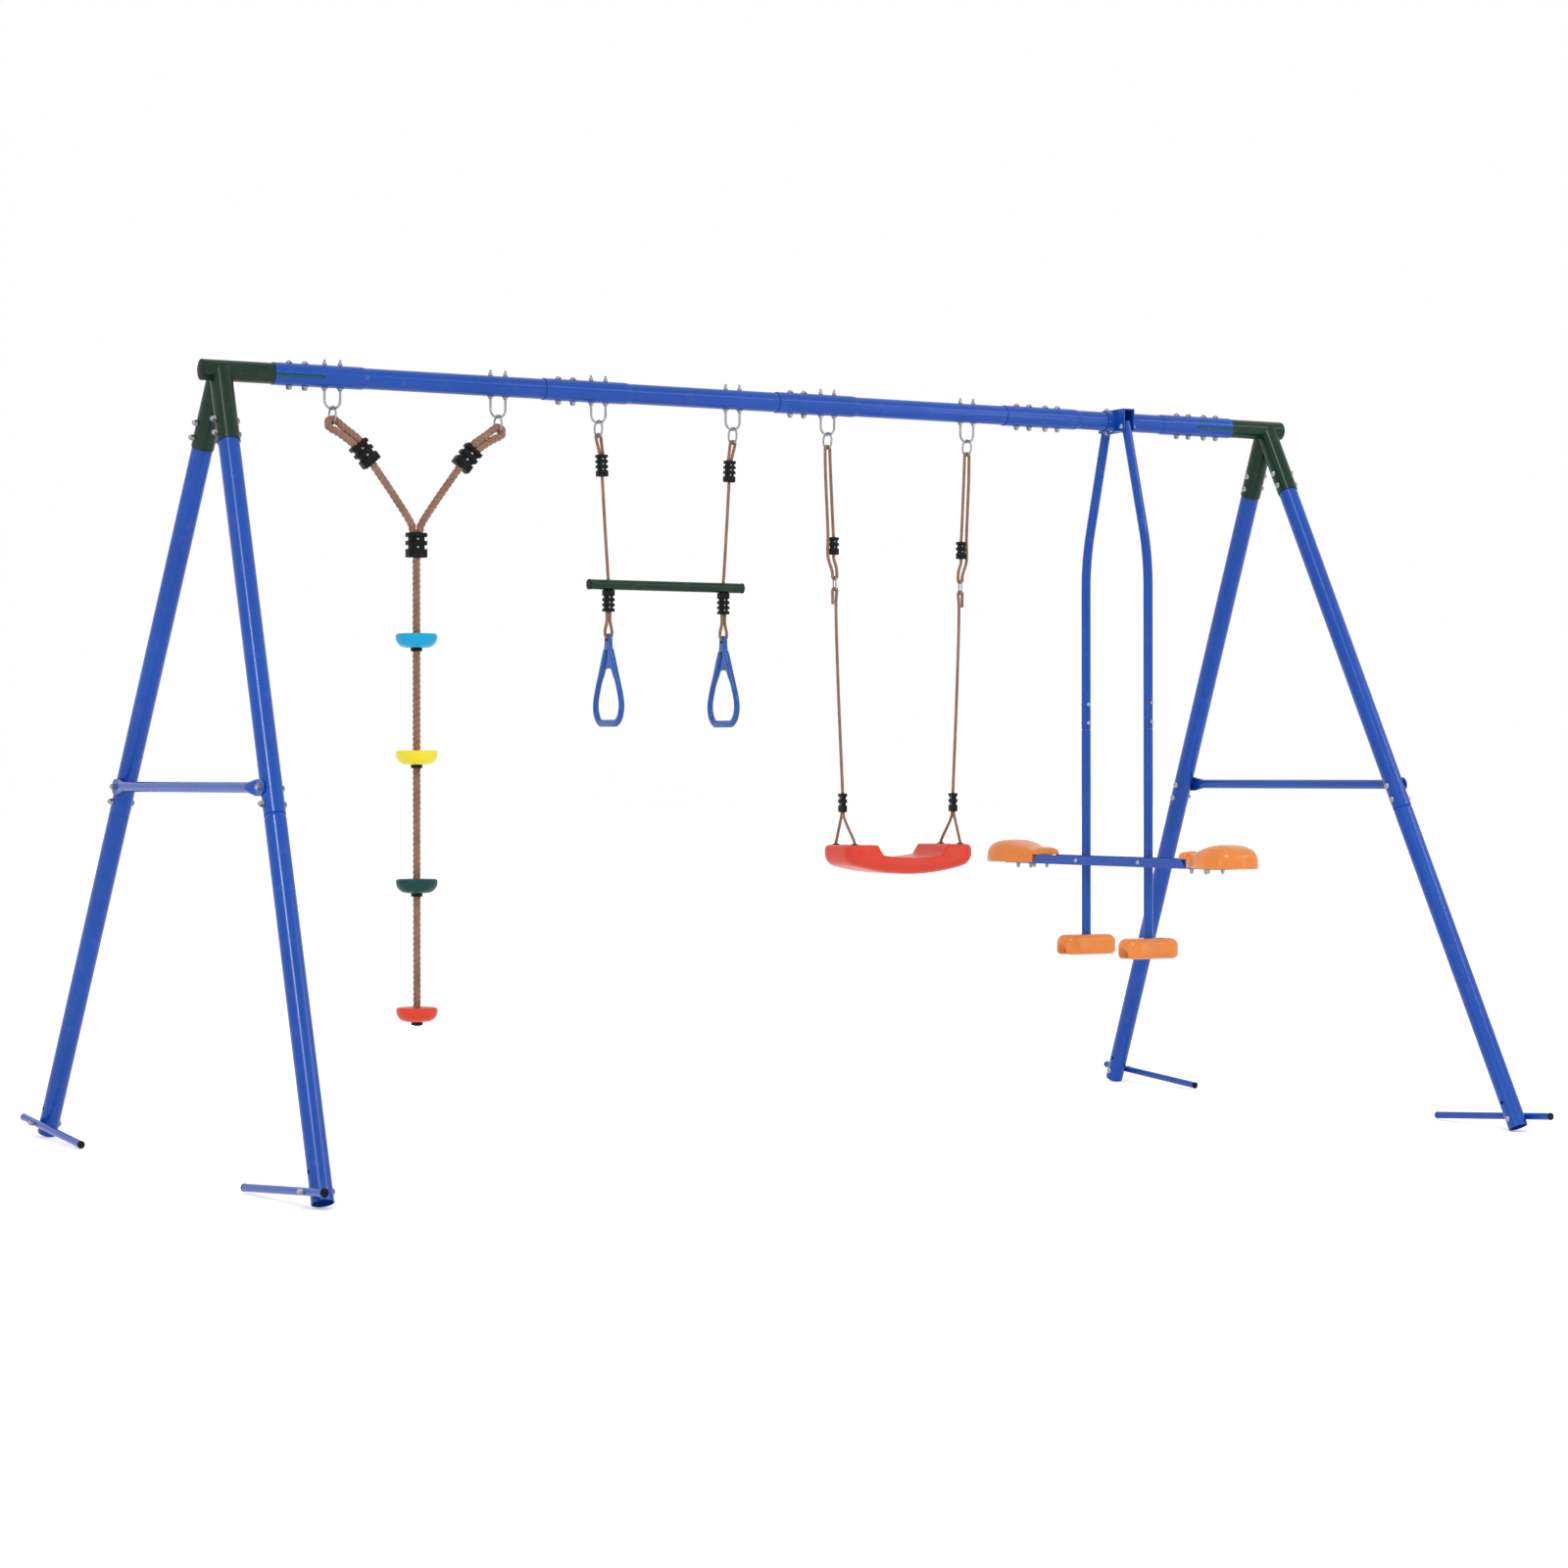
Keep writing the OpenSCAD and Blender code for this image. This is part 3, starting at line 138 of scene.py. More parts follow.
def spreadOf(tree, value, low, high, outLow=0.0, outHigh=1.0):
    return put(tree, "ShaderNodeMapRange", {"Value": value, "From Min": low, "From Max": high,
                                            "To Min": outLow, "To Max": outHigh}, "Result", clamp=True)


def mixColor(tree, factor, a, b):
    return put(tree, "ShaderNodeMix", {"Factor": factor, 6: a, 7: b}, 2, data_type="RGBA")


def bumpFrom(tree, shader, heights):
    # heights: list of (socket, distance in metres), laid over each other
    last = None
    for height, distance in heights:
        last = put(tree, "ShaderNodeBump", {"Strength": 1.0, "Distance": distance, "Height": height,
                                            "Normal": last})
    tree.links.new(last, shader.inputs["Normal"])


def tone(color, gain):
    return tuple(min(1.0, v * gain) for v in color[:3]) + (1.0,)


def fromHex(text):
    # display colour to linear
    parts = [int(text[i:i + 2], 16) / 255 for i in (0, 2, 4)]
    return tuple((v / 12.92 if v <= 0.04045 else ((v + 0.055) / 1.055) ** 2.4) for v in parts) + (1.0,)


# Rope finish
ropeFinish = {"light": "9c7259", "dark": "5a3b2c", "fibreStretch": 60.0, "fibreBump": 0.0006,
              "roughness": 0.92}


def makeRopeFinish(spec):
    material, tree, shader = makeMaterial("twistedRope")
    run = addNode(tree, "ShaderNodeAttribute", attribute_name="ropeRun").outputs["Vector"]
    side = addNode(tree, "ShaderNodeAttribute", attribute_name="strandSide").outputs["Vector"]
    along = vectorNode(tree, "SCALE", run, scale=spec["fibreStretch"])
    fibrePoint = vectorNode(tree, "ADD", vectorNode(tree, "SCALE", side, scale=3.2), along)
    fibre = noiseOf(tree, fibrePoint, 2.4, 4.0, 0.65)
    patch = noiseOf(tree, objectPoint(tree), 26.0, 2.0)
    mixFactor = mathNode(tree, "ADD", mathNode(tree, "MULTIPLY", fibre, 0.75),
                         mathNode(tree, "MULTIPLY", patch, 0.35))
    feed(tree, shader.inputs["Base Color"], mixColor(tree, spreadOf(tree, mixFactor, 0.35, 0.75),
                                                     fromHex(spec["dark"]), fromHex(spec["light"])))
    shader.inputs["Roughness"].default_value = spec["roughness"]
    shader.inputs["Sheen Weight"].default_value = 0.25
    shader.inputs["Sheen Roughness"].default_value = 0.6
    shader.inputs["Specular IOR Level"].default_value = 0.2
    bumpFrom(tree, shader, [(fibre, spec["fibreBump"])])
    return material


ropeMaterial = makeRopeFinish(ropeFinish)


# Helpers that build and run a Geometry Nodes tree
def newTree(name, sizes):
    tree = bpy.data.node_groups.new(name, "GeometryNodeTree")
    tree.interface.new_socket("Geometry", in_out="INPUT", socket_type="NodeSocketGeometry")
    for label, value in sizes.items():
        kind = ("NodeSocketMaterial" if value is None
                else "NodeSocketInt" if isinstance(value, int) else "NodeSocketFloat")
        socket = tree.interface.new_socket(label, in_out="INPUT", socket_type=kind)
        if value is not None:
            socket.default_value = value
    tree.interface.new_socket("Geometry", in_out="OUTPUT", socket_type="NodeSocketGeometry")
    return tree, tree.nodes.new("NodeGroupInput"), tree.nodes.new("NodeGroupOutput")


def baked(carrier, keepLayers=False):
    # the object's shape with its modifiers, as a plain mesh
    bpy.context.view_layer.update()
    graph = bpy.context.evaluated_depsgraph_get()
    return bpy.data.meshes.new_from_object(carrier.evaluated_get(graph), depsgraph=graph,
                                           preserve_all_data_layers=keepLayers)


def runTree(name, host, tree, values):
    # runs the tree on a host mesh and returns the plain mesh
    carrier = linked(name + "Host", host)
    modifier = carrier.modifiers.new("shape", "NODES")
    modifier.node_group = tree
    for item in tree.interface.items_tree:
        if item.item_type == "SOCKET" and item.in_out == "INPUT" and item.name in values:
            modifier[item.identifier] = values[item.name]
    carrier.update_tag()
    mesh = baked(carrier, True)
    mesh.name = name
    carrier.modifiers.remove(modifier)
    bpy.data.objects.remove(carrier)
    return mesh


def lineHost(name, lines):
    host = bpy.data.meshes.new(name)
    points, edges = [], []
    for line in lines:
        first = len(points)
        points += [tuple(p) for p in line]
        edges += [(first + i, first + i + 1) for i in range(len(line) - 1)]
    host.from_pydata(points, edges, [])
    return host


def pointHost(name):
    host = bpy.data.meshes.new(name)
    host.from_pydata([(0, 0, 0)], [], [])
    return host


# Twisted rope: three strands wound round the line, with their run and side kept for the finish.
# Reach and radius are shares of the rope's radius.
strandShape = {"reach": 0.50, "radius": 0.57}


def makeRopeTree():
    tree, given, result = newTree("twistedRopeTree", {"Rope Radius": 0.004, "Twist Length": 0.03,
                                                      "Step": 0.002, "Sides": 10, "Strands": 3,
                                                      "Finish": None})
    radius, strands = given.outputs["Rope Radius"], given.outputs["Strands"]
    curve = put(tree, "GeometryNodeMeshToCurve", {"Mesh": given.outputs["Geometry"]})
    even = put(tree, "GeometryNodeResampleCurve", {"Curve": curve, "Length": given.outputs["Step"]},
               mode="LENGTH")
    copies = put(tree, "GeometryNodeDuplicateElements", {"Geometry": even, "Amount": strands},
                 domain="SPLINE")
    number = copies.node.outputs["Duplicate Index"]
    length = addNode(tree, "GeometryNodeSplineParameter").outputs["Length"]
    normal = addNode(tree, "GeometryNodeInputNormal").outputs["Normal"]
    tangent = addNode(tree, "GeometryNodeInputTangent").outputs["Tangent"]
    binormal = vectorNode(tree, "CROSS_PRODUCT", tangent, normal)
    turns = mathNode(tree, "DIVIDE", length, given.outputs["Twist Length"])
    angle = mathNode(tree, "ADD", mathNode(tree, "MULTIPLY", turns, math.tau),
                     mathNode(tree, "MULTIPLY", mathNode(tree, "DIVIDE", number, strands), math.tau))
    outward = vectorNode(tree, "ADD", vectorNode(tree, "SCALE", normal,
                                                 scale=mathNode(tree, "COSINE", angle)),
                         vectorNode(tree, "SCALE", binormal, scale=mathNode(tree, "SINE", angle)))
    reach = mathNode(tree, "MULTIPLY", radius, strandShape["reach"])
    vectors = {"data_type": "FLOAT_VECTOR", "domain": "POINT"}
    run = put(tree, "ShaderNodeCombineXYZ", {"X": number, "Z": length})
    marked = put(tree, "GeometryNodeStoreNamedAttribute",
                 {"Name": "ropeRun", "Geometry": copies, "Value": run}, **vectors)
    placed = put(tree, "GeometryNodeSetPosition",
                 {"Geometry": marked, "Offset": vectorNode(tree, "SCALE", outward, scale=reach)})
    ring = put(tree, "GeometryNodeCurvePrimitiveCircle",
               {"Resolution": given.outputs["Sides"],
                "Radius": mathNode(tree, "MULTIPLY", radius, strandShape["radius"])}, mode="RADIUS")
    place = addNode(tree, "GeometryNodeInputPosition").outputs["Position"]
    profile = put(tree, "GeometryNodeStoreNamedAttribute",
                  {"Name": "strandSide", "Geometry": ring, "Value": vectorNode(tree, "NORMALIZE", place)},
                  **vectors)
    sweep = put(tree, "GeometryNodeCurveToMesh", {"Curve": placed, "Profile Curve": profile,
                                                  "Fill Caps": True})
    smooth = put(tree, "GeometryNodeSetShadeSmooth", {"Geometry": sweep})
    real = put(tree, "GeometryNodeRealizeInstances", {"Geometry": smooth})
    painted = put(tree, "GeometryNodeSetMaterial", {"Geometry": real, "Material": given.outputs["Finish"]})
    tree.links.new(painted, result.inputs["Geometry"])
    return tree


ropeTree = makeRopeTree()


def smoothLine(points, step=0.003):
    points = [Vector(p) for p in points]
    ends = [points[0] * 2 - points[1]] + points + [points[-1] * 2 - points[-2]]
    line = []
    for i in range(len(points) - 1):
        a, b, c, d = ends[i:i + 4]
        knots = [0.0]
        for p, q in ((a, b), (b, c), (c, d)):
            knots.append(knots[-1] + max(1e-5, (q - p).length ** 0.5))
        count = max(2, round((c - b).length / step))
        for k in range(count):
            t = knots[1] + (knots[2] - knots[1]) * k / count
            ab = a.lerp(b, (t - knots[0]) / (knots[1] - knots[0]))
            bc = b.lerp(c, (t - knots[1]) / (knots[2] - knots[1]))
            cd = c.lerp(d, (t - knots[2]) / (knots[3] - knots[2]))
            abc = ab.lerp(bc, (t - knots[0]) / (knots[2] - knots[0]))
            bcd = bc.lerp(cd, (t - knots[1]) / (knots[3] - knots[1]))
            line.append(abc.lerp(bcd, (t - knots[1]) / (knots[2] - knots[1])))
    return line + [points[-1]]


def sideways(x, points, flip=False):
    # points beside x in the XZ plane, or their twins on the other side
    return [Vector((x + (-p[0] if flip else p[0]), p[1], p[2])) for p in points]


def bend(x, y, radius, angles):
    # points round (x, y), the angles in degrees
    return [(x + radius * math.cos(math.radians(a)), y + radius * math.sin(math.radians(a)))
            for a in angles]


def arc(cx, cz, radius, start, end, count=10):
    angles = [start + (end - start) * i / count for i in range(count + 1)]
    return [(x, 0.0, z) for x, z in bend(cx, cz, radius, angles)]


def addRopes(name, body, lines, radius, twist, replaced=(), sides=10):
    mesh = runTree(name, lineHost(name + "Lines", lines), ropeTree,
                   {"Rope Radius": radius, "Twist Length": twist, "Step": max(0.0015, twist / 16),
                    "Sides": sides, "Strands": 3, "Finish": ropeMaterial})
    rope = linked(name, mesh)
    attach(rope, body)
    if replaced:
        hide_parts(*replaced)
    return rope


def addCord(name, body, points, radius, twist, replaced=(),
            sides=10):
    line = smoothLine(points)
    rope = addRopes(name, body, [line], radius, twist, replaced, sides)
    return rope


# Climbing ropes
climber = {"ropeRadius": 0.009, "twist": 0.040, "clampIn": (0.064, -0.044), "clampOut": (0.102, -0.090),
           "loopSlope": (64.0, -39.0), "clampLow": 1.437, "clampHigh": 1.497, "ropeLow": 0.313,
           "discs": (1.2375, 0.9565, 0.6475, 0.3385)}


def climberRoutes(spec, flip):
    radius = spec["ropeRadius"]
    (inX, inZ), (outX, outZ) = spec["clampIn"], spec["clampOut"]
    slope = Vector((outX - inX, outZ - inZ)).normalized()
    across = Vector((-slope.y, slope.x))
    loopSlope = Vector(spec["loopSlope"]).normalized()
    strand = radius + 0.0002
    start = math.degrees(math.atan2(loopSlope.x, -loopSlope.y))
    at = lambda side, back: (inX + side * strand * across.x - back * slope.x, 0.0,
                             inZ + side * strand * across.y - back * slope.y)
    # the two strands lie together until they part round the ring
    meet = Vector((inX * 0.38, inZ * 0.34))
    lean = (Vector((inX, inZ)) - meet).normalized()
    near = lambda side: (meet.x - side * strand * lean.y, 0.0, meet.y + side * strand * lean.x)
    loop = ([at(1, 0.0002), at(1, 0.006), near(1)]
            + arc(0, 0, radius + layout["ringWire"] / 2 + 0.0003, start, start + 180)
            + [near(-1), at(-1, 0.006), at(-1, 0.0002)])
    middle = (hangX[1] - hangX[0]) / 2
    high = spec["clampHigh"] - ringLow
    branch = [(outX + slope.x * k, 0.0, outZ + slope.y * k) for k in (0.0002, 0.009)]
    branch += [(middle - 0.013, 0, high + 0.020), (middle - 0.0098, 0, high + 0.009),
               (middle - 0.0094, 0, high + 0.0002)]
    lift = lambda points: [(x, y, z + ringLow) for x, y, z in points]
    x = hangX[1] if flip else hangX[0]
    return sideways(x, lift(loop), flip), sideways(x, lift(branch), flip)


for label, flip in (("Left", False), ("Right", True)):
    loop, branch = climberRoutes(climber, flip)
    addCord("climberBranch" + label, "climber_bridle", branch, climber["ropeRadius"],
            climber["twist"], ["climber_rope_" + label.lower()], sides=12)
    addRopes("climberEye" + label, "climber_bridle", [smoothLine(loop)], climber["ropeRadius"],
             climber["twist"], sides=12)
tailLine = [(climberX, 0, z) for z in (climber["clampLow"] - 0.0003, 1.40, 1.36, 1.30, 1.22,
                                       1.14, 1.06, 0.98, 0.90, 0.82, 0.74, 0.66, 0.58, 0.50,
                                       0.42, 0.36, climber["ropeLow"])]
addCord("climbingRope", "climber_line", tailLine, climber["ropeRadius"], climber["twist"],
        ["climber_tail"], sides=12)

# Trapeze ropes
trapeze = {"ropeRadius": 0.004, "twist": 0.021, "width": 0.38, "clampTop": (0.1815, 1.706),
           "clampLow": (0.1795, 1.652), "holes": 0.325, "barZ": 1.385, "barRadius": 0.0125,
           "dropClamp": 0.054, "holeZ": 1.253, "tab": 0.010}
eyeRadius = trapeze["ropeRadius"] + layout["ringWire"] / 2 + 0.0003
dropTop = trapeze["barZ"] - trapeze["barRadius"] - 0.0002
dropLow = dropTop - trapeze["dropClamp"]


def trapezeRoutes(spec):
    r, half = spec["ropeRadius"], spec["holes"] / 2
    (topX, topZ), (lowX, lowZ) = spec["clampTop"], spec["clampLow"]
    eye = ([(-topX - r - 0.0001, 0, topZ + 0.0003)] + arc(-spec["width"] / 2, ringLow, eyeRadius, 180, 0)
           + [(-topX + r + 0.0001, 0, topZ + 0.0003)])
    hang = [(-lowX, 0, lowZ - 0.00015), (-half - 0.0095, 0, 1.53), (-half - 0.001, 0, spec["barZ"] + 0.022),
            (-half, 0, spec["barZ"] + spec["barRadius"]), (-half, 0, spec["barZ"] - spec["barRadius"])]
    wide = spec["tab"] / 2 + r + 0.0004
    drop = ([(-r - 0.0002, 0, dropLow - 0.0003), (-r - 0.0002, 0, dropLow - 0.0043),
             (-r - 0.0004, 0, dropLow - 0.024), (-wide, 0, spec["holeZ"] + 0.018)]
            + arc(0, spec["holeZ"] + 0.0008 + wide, wide, 180, 360)
            + [(wide, 0, spec["holeZ"] + 0.018), (r + 0.0004, 0, dropLow - 0.024),
               (r + 0.0002, 0, dropLow - 0.0043), (r + 0.0002, 0, dropLow - 0.0003)])
    return eye, hang, drop


eyeRoute, hangRoute, dropRoute = trapezeRoutes(trapeze)
for label, flip, side in (("Left", False, -1), ("Right", True, 1)):
    addCord("trapezeRope" + label, "trapeze", sideways(trapezeX, hangRoute, flip), trapeze["ropeRadius"],
            trapeze["twist"], ["trapeze_ropes"] if flip else [])
    addRopes("ringLoop" + label, "drop_" + label.lower(),
             [smoothLine(sideways(trapezeX + side * trapeze["holes"] / 2, dropRoute), 0.002)],
             trapeze["ropeRadius"], trapeze["twist"], ["drop_rope_" + label.lower()])
addRopes("trapezeEyes", "trapeze", [smoothLine(sideways(trapezeX, eyeRoute, flip), 0.002)
                                    for flip in (False, True)],
         trapeze["ropeRadius"], trapeze["twist"])

# Swing ropes
swing = {"ropeRadius": 0.004, "twist": 0.021, "width": 0.424, "adjuster": (0.194, 1.523),
         "adjusterHigh": 0.045, "hook": (0.191, 1.404), "hookHigh": 0.040, "splitter": (0.168, 0.866),
         "splitterHigh": 0.048, "seatLong": 0.38, "seatTop": 0.734, "holeY": 0.047}
hookTurn = swing["ropeRadius"] + 0.002 + 0.0003
holeX = swing["seatLong"] / 2 - 0.03


def swingRoutes(spec):
    r, half = spec["ropeRadius"], spec["width"] / 2
    (adjX, adjZ), (hookX, hookZ), (lowX, lowZ) = spec["adjuster"], spec["hook"], spec["splitter"]
    hookTop, hookLow = hookZ + spec["hookHigh"] / 2 - 0.002, hookZ - spec["hookHigh"] / 2 + 0.002
    adjLow = adjZ - spec["adjusterHigh"]
    adjust = ([(-adjX, 0, adjZ + 0.0002), (-adjX - 0.001, 0, adjZ + 0.012),
               (-half + eyeRadius + 0.001, 0, ringLow - 0.03)]
              + arc(-half, ringLow, eyeRadius, 0, 180)
              + [(-half - 0.006, 0, ringLow - 0.06), (-adjX - 0.0168, 0, adjZ + 0.006),
                 (-adjX - 0.0166, 0, adjLow - 0.006),
                 (-hookX - hookTurn - 0.0006, 0, hookTop + 0.012)]
              + arc(-hookX, hookTop, hookTurn, 180, 360)
              + [(-hookX + hookTurn - 0.0008, 0, hookTop + 0.02), (-adjX, 0, adjLow - 0.008),
                 (-adjX, 0, adjLow - 0.0002)])
    lower = ([(-hookX - hookTurn + 0.0006, 0, hookLow - 0.034), (-hookX - hookTurn, 0, hookLow - 0.008)]
             + arc(-hookX, hookLow, hookTurn, 180, 0)
             + [(-hookX + hookTurn - 0.002, 0, hookLow - 0.022), (-hookX + r, 0, hookLow - 0.06),
                (-hookX + 0.0102, 0, 1.14), (-lowX - 0.0004, 0, lowZ + 0.012), (-lowX, 0, lowZ + 0.0002)])
    splitLow = lowZ - spec["splitterHigh"]
    split = lambda s: [(-lowX, s * (r + 0.0001), splitLow - 0.0002),
                       (-lowX, s * (r + 0.0004), splitLow - 0.006),
                       (-lowX + 0.0006, s * 0.012, splitLow - 0.022),
                       (-holeX - 0.001, s * (spec["holeY"] - 0.006), spec["seatTop"] + 0.016),
                       (-holeX, s * spec["holeY"], spec["seatTop"] + 0.004),
                       (-holeX, s * spec["holeY"], spec["seatTop"] - 0.034)]
    return adjust, lower, split


adjustRoute, lowerRoute, splitRoute = swingRoutes(swing)
for label, flip in (("Left", False), ("Right", True)):
    addRopes("swingAdjuster" + label, "swing", [smoothLine(sideways(swingX, adjustRoute, flip), 0.002)],
             swing["ropeRadius"], swing["twist"], ["swing_ropes"] if flip else [])
    addRopes("swingRope" + label, "swing", [smoothLine(sideways(swingX, lowerRoute, flip), 0.002)],
             swing["ropeRadius"], swing["twist"])
    for place, s in (("Front", -1), ("Back", 1)):
        addCord("seatRope" + label + place, "swing", sideways(swingX, splitRoute(s), flip),
                swing["ropeRadius"], swing["twist"])
print("stage: ropes")


# Coats, plastics and steel
def makeCoat(name, spec):
    # sprayed or moulded finish: soft colour drift, fine skin and slightly uneven gloss
    material, tree, shader = makeMaterial(name)
    point = objectPoint(tree)
    drift = noiseOf(tree, point, spec.get("driftScale", 3.0), 3.0)
    skin = noiseOf(tree, point, spec.get("skinScale", 900.0), 2.0)
    smudge = noiseOf(tree, point, 34.0, 4.0, 0.6)
    color = fromHex(spec["color"])
    base = mixColor(tree, spreadOf(tree, drift, 0.3, 0.7), tone(color, spec.get("low", 0.9)),
                    tone(color, spec.get("high", 1.08)))
    dust = spec.get("dust")
    if dust:
        base = mixColor(tree, spreadOf(tree, smudge, 0.55, 0.85, 0.0, dust), base, (0.55, 0.52, 0.48, 1.0))
    feed(tree, shader.inputs["Base Color"], base)
    rough = spec.get("roughness", 0.35)
    feed(tree, shader.inputs["Roughness"], spreadOf(tree, smudge, 0.3, 0.75, rough * 0.85, rough * 1.25))
    shader.inputs["Coat Weight"].default_value = spec.get("coat", 0.0)
    shader.inputs["Coat Roughness"].default_value = spec.get("coatRoughness", 0.12)
    shader.inputs["Metallic"].default_value = spec.get("metal", 0.0)
    shader.inputs["Specular IOR Level"].default_value = spec.get("shine", 0.5)
    shader.inputs["Subsurface Weight"].default_value = spec.get("glow", 0.0)
    shader.inputs["Subsurface Radius"].default_value = (0.01, 0.004, 0.002)
    heights = [(skin, spec.get("skin", 0.00006))]
    if spec.get("peel"):
        heights.append((noiseOf(tree, point, spec.get("peelScale", 240.0), 1.0), spec["peel"]))
    bumpFrom(tree, shader, heights)
    return material


coats = {
    "blueCoat": {"color": "0a4096", "roughness": 0.22, "shine": 0.25, "coat": 0.05, "coatRoughness": 0.10,
                 "skin": 0.00002, "peel": 0.00003, "dust": 0.04},
    "greenCoat": {"color": "06281a", "roughness": 0.24, "shine": 0.22, "coat": 0.04, "coatRoughness": 0.10,
                  "skin": 0.00002, "peel": 0.00003, "dust": 0.04},
    # seam strip: the corner tube's green, made lighter than greenCoat as a painted highlight
    "seamGreenPaintedHighlight": {"color": "1f5a38", "roughness": 0.30, "shine": 0.2, "skin": 0.00002},
    "blackPlastic": {"color": "08080a", "roughness": 0.45, "shine": 0.14, "skin": 0.00015,
                     "skinScale": 700.0, "dust": 0.03},
    "zincSteel": {"color": "9a9da4", "roughness": 0.30, "metal": 1.0, "driftScale": 60.0, "low": 0.75,
                  "high": 1.05, "skin": 0.00008},
    "cyanPlastic": {"color": "0693c0", "roughness": 0.38, "shine": 0.22, "glow": 0.02, "skin": 0.00010},
    "yellowPlastic": {"color": "d8c92c", "roughness": 0.38, "shine": 0.22, "glow": 0.02, "skin": 0.00010},
    "tealPlastic": {"color": "083739", "roughness": 0.38, "shine": 0.22, "glow": 0.01, "skin": 0.00010},
    "redPlastic": {"color": "c63823", "roughness": 0.38, "shine": 0.22, "glow": 0.02, "skin": 0.00010},
    "seatPlastic": {"color": "bf331f", "roughness": 0.34, "shine": 0.24, "coat": 0.05, "glow": 0.02,
                    "skin": 0.00002, "peel": 0.00003, "peelScale": 60.0},
    "orangePlastic": {"color": "ce7631", "roughness": 0.26, "shine": 0.28, "coat": 0.12, "glow": 0.02,
                      "skin": 0.00002, "peel": 0.00003, "peelScale": 60.0, "low": 0.88, "driftScale": 9.0},
    "bluePlastic": {"color": "0e4690", "roughness": 0.22, "shine": 0.34, "coat": 0.06,
                    "glow": 0.01, "skin": 0.00003},
}
finish = {name: makeCoat(name, spec) for name, spec in coats.items()}
slotFinish = {"blue_coat": "blueCoat", "green_coat": "greenCoat", "black_plastic": "blackPlastic",
              "zinc": "zincSteel", "cyan_plastic": "cyanPlastic", "yellow_plastic": "yellowPlastic",
              "teal_plastic": "tealPlastic", "red_plastic": "redPlastic", "seat_plastic": "seatPlastic",
              "orange_plastic": "orangePlastic", "blue_plastic": "bluePlastic"}
for part in frame["record"]["subparts"]:
    node = nodes[part["node"]]
    chosen = ropeMaterial if part["material_slot"] == "rope" else finish[slotFinish[part["material_slot"]]]
    node.data.materials.clear()
    node.data.materials.append(chosen)
print("stage: finishes")


# Mesh tools
def addPiece(name, mesh, body, material, replaced=()):
    piece = linked(name, mesh)
    if material is not None:
        mesh.materials.clear()
        mesh.materials.append(material)
    for polygon in mesh.polygons:
        polygon.use_smooth = True
    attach(piece, body)
    if replaced:
        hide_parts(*replaced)
    return piece


def cleaned(mesh, merge=1e-6):
    work = bmesh.new()
    work.from_mesh(mesh)
    bmesh.ops.remove_doubles(work, verts=work.verts, dist=merge)
    bmesh.ops.recalc_face_normals(work, faces=work.faces)
    work.to_mesh(mesh)
    work.free()
    return mesh


def joined(name, meshes):
    # copies of meshes with their places: list of (mesh, matrix)
    work = bmesh.new()
    slots = []
    for mesh, place in meshes:
        shift = []
        for material in mesh.materials:
            if material not in slots:
                slots.append(material)
            shift.append(slots.index(material))
        moved = mesh.copy()
        moved.transform(place)
        first = len(work.faces)
        work.from_mesh(moved)
        work.faces.ensure_lookup_table()
        for face in work.faces[first:]:
            face.material_index = shift[face.material_index] if shift else 0
        bpy.data.meshes.remove(moved)
    bmesh.ops.recalc_face_normals(work, faces=work.faces)
    result = bpy.data.meshes.new(name)
    for material in slots:
        result.materials.append(material)
    work.to_mesh(result)
    work.free()
    return result


def bands(rows, ring):
    # faces between closed rings of points that follow each other
    return [(i * ring + k, i * ring + (k + 1) % ring, (i + 1) * ring + (k + 1) % ring, (i + 1) * ring + k)
            for i in range(rows - 1) for k in range(ring)]


def bevelled(mesh, width, segments, angle=35.0):
    carrier = linked(mesh.name + "Bevel", mesh)
    bevel = carrier.modifiers.new("edges", "BEVEL")
    bevel.width, bevel.segments = width, segments
    bevel.limit_method, bevel.angle_limit = "ANGLE", math.radians(angle)
    result = baked(carrier)
    bpy.data.objects.remove(carrier)
    return result


def turned(name, profile, segments, middle=(0, 0, 0)):
    # closed profile of (radius, z) turned round Z
    mesh = bpy.data.meshes.new(name)
    count = len(profile)
    points = [(middle[0] + r * math.cos(math.tau * k / segments),
               middle[1] + r * math.sin(math.tau * k / segments), middle[2] + z)
              for k in range(segments) for r, z in profile]
    faces = []
    for k in range(segments):
        here, beyond = k * count, (k + 1) % segments * count
        faces += [(here + i, beyond + i, beyond + (i + 1) % count, here + (i + 1) % count)
                  for i in range(count)]
    mesh.from_pydata(points, [], faces)
    return cleaned(mesh)


def rounded(points, radius, steps):
    # closed outline with each corner turned into an arc
    result = []
    count = len(points)
    for i in range(count):
        here, before, after = (Vector(points[k % count]) for k in (i, i - 1, i + 1))
        toBefore, toAfter = before - here, after - here
        size = min(radius, toBefore.length * 0.48, toAfter.length * 0.48)
        a, b = here + toBefore.normalized() * size, here + toAfter.normalized() * size
        for k in range(steps + 1):
            t = k / steps
            result.append(tuple(a.lerp(here, t).lerp(here.lerp(b, t), t)))
    return result


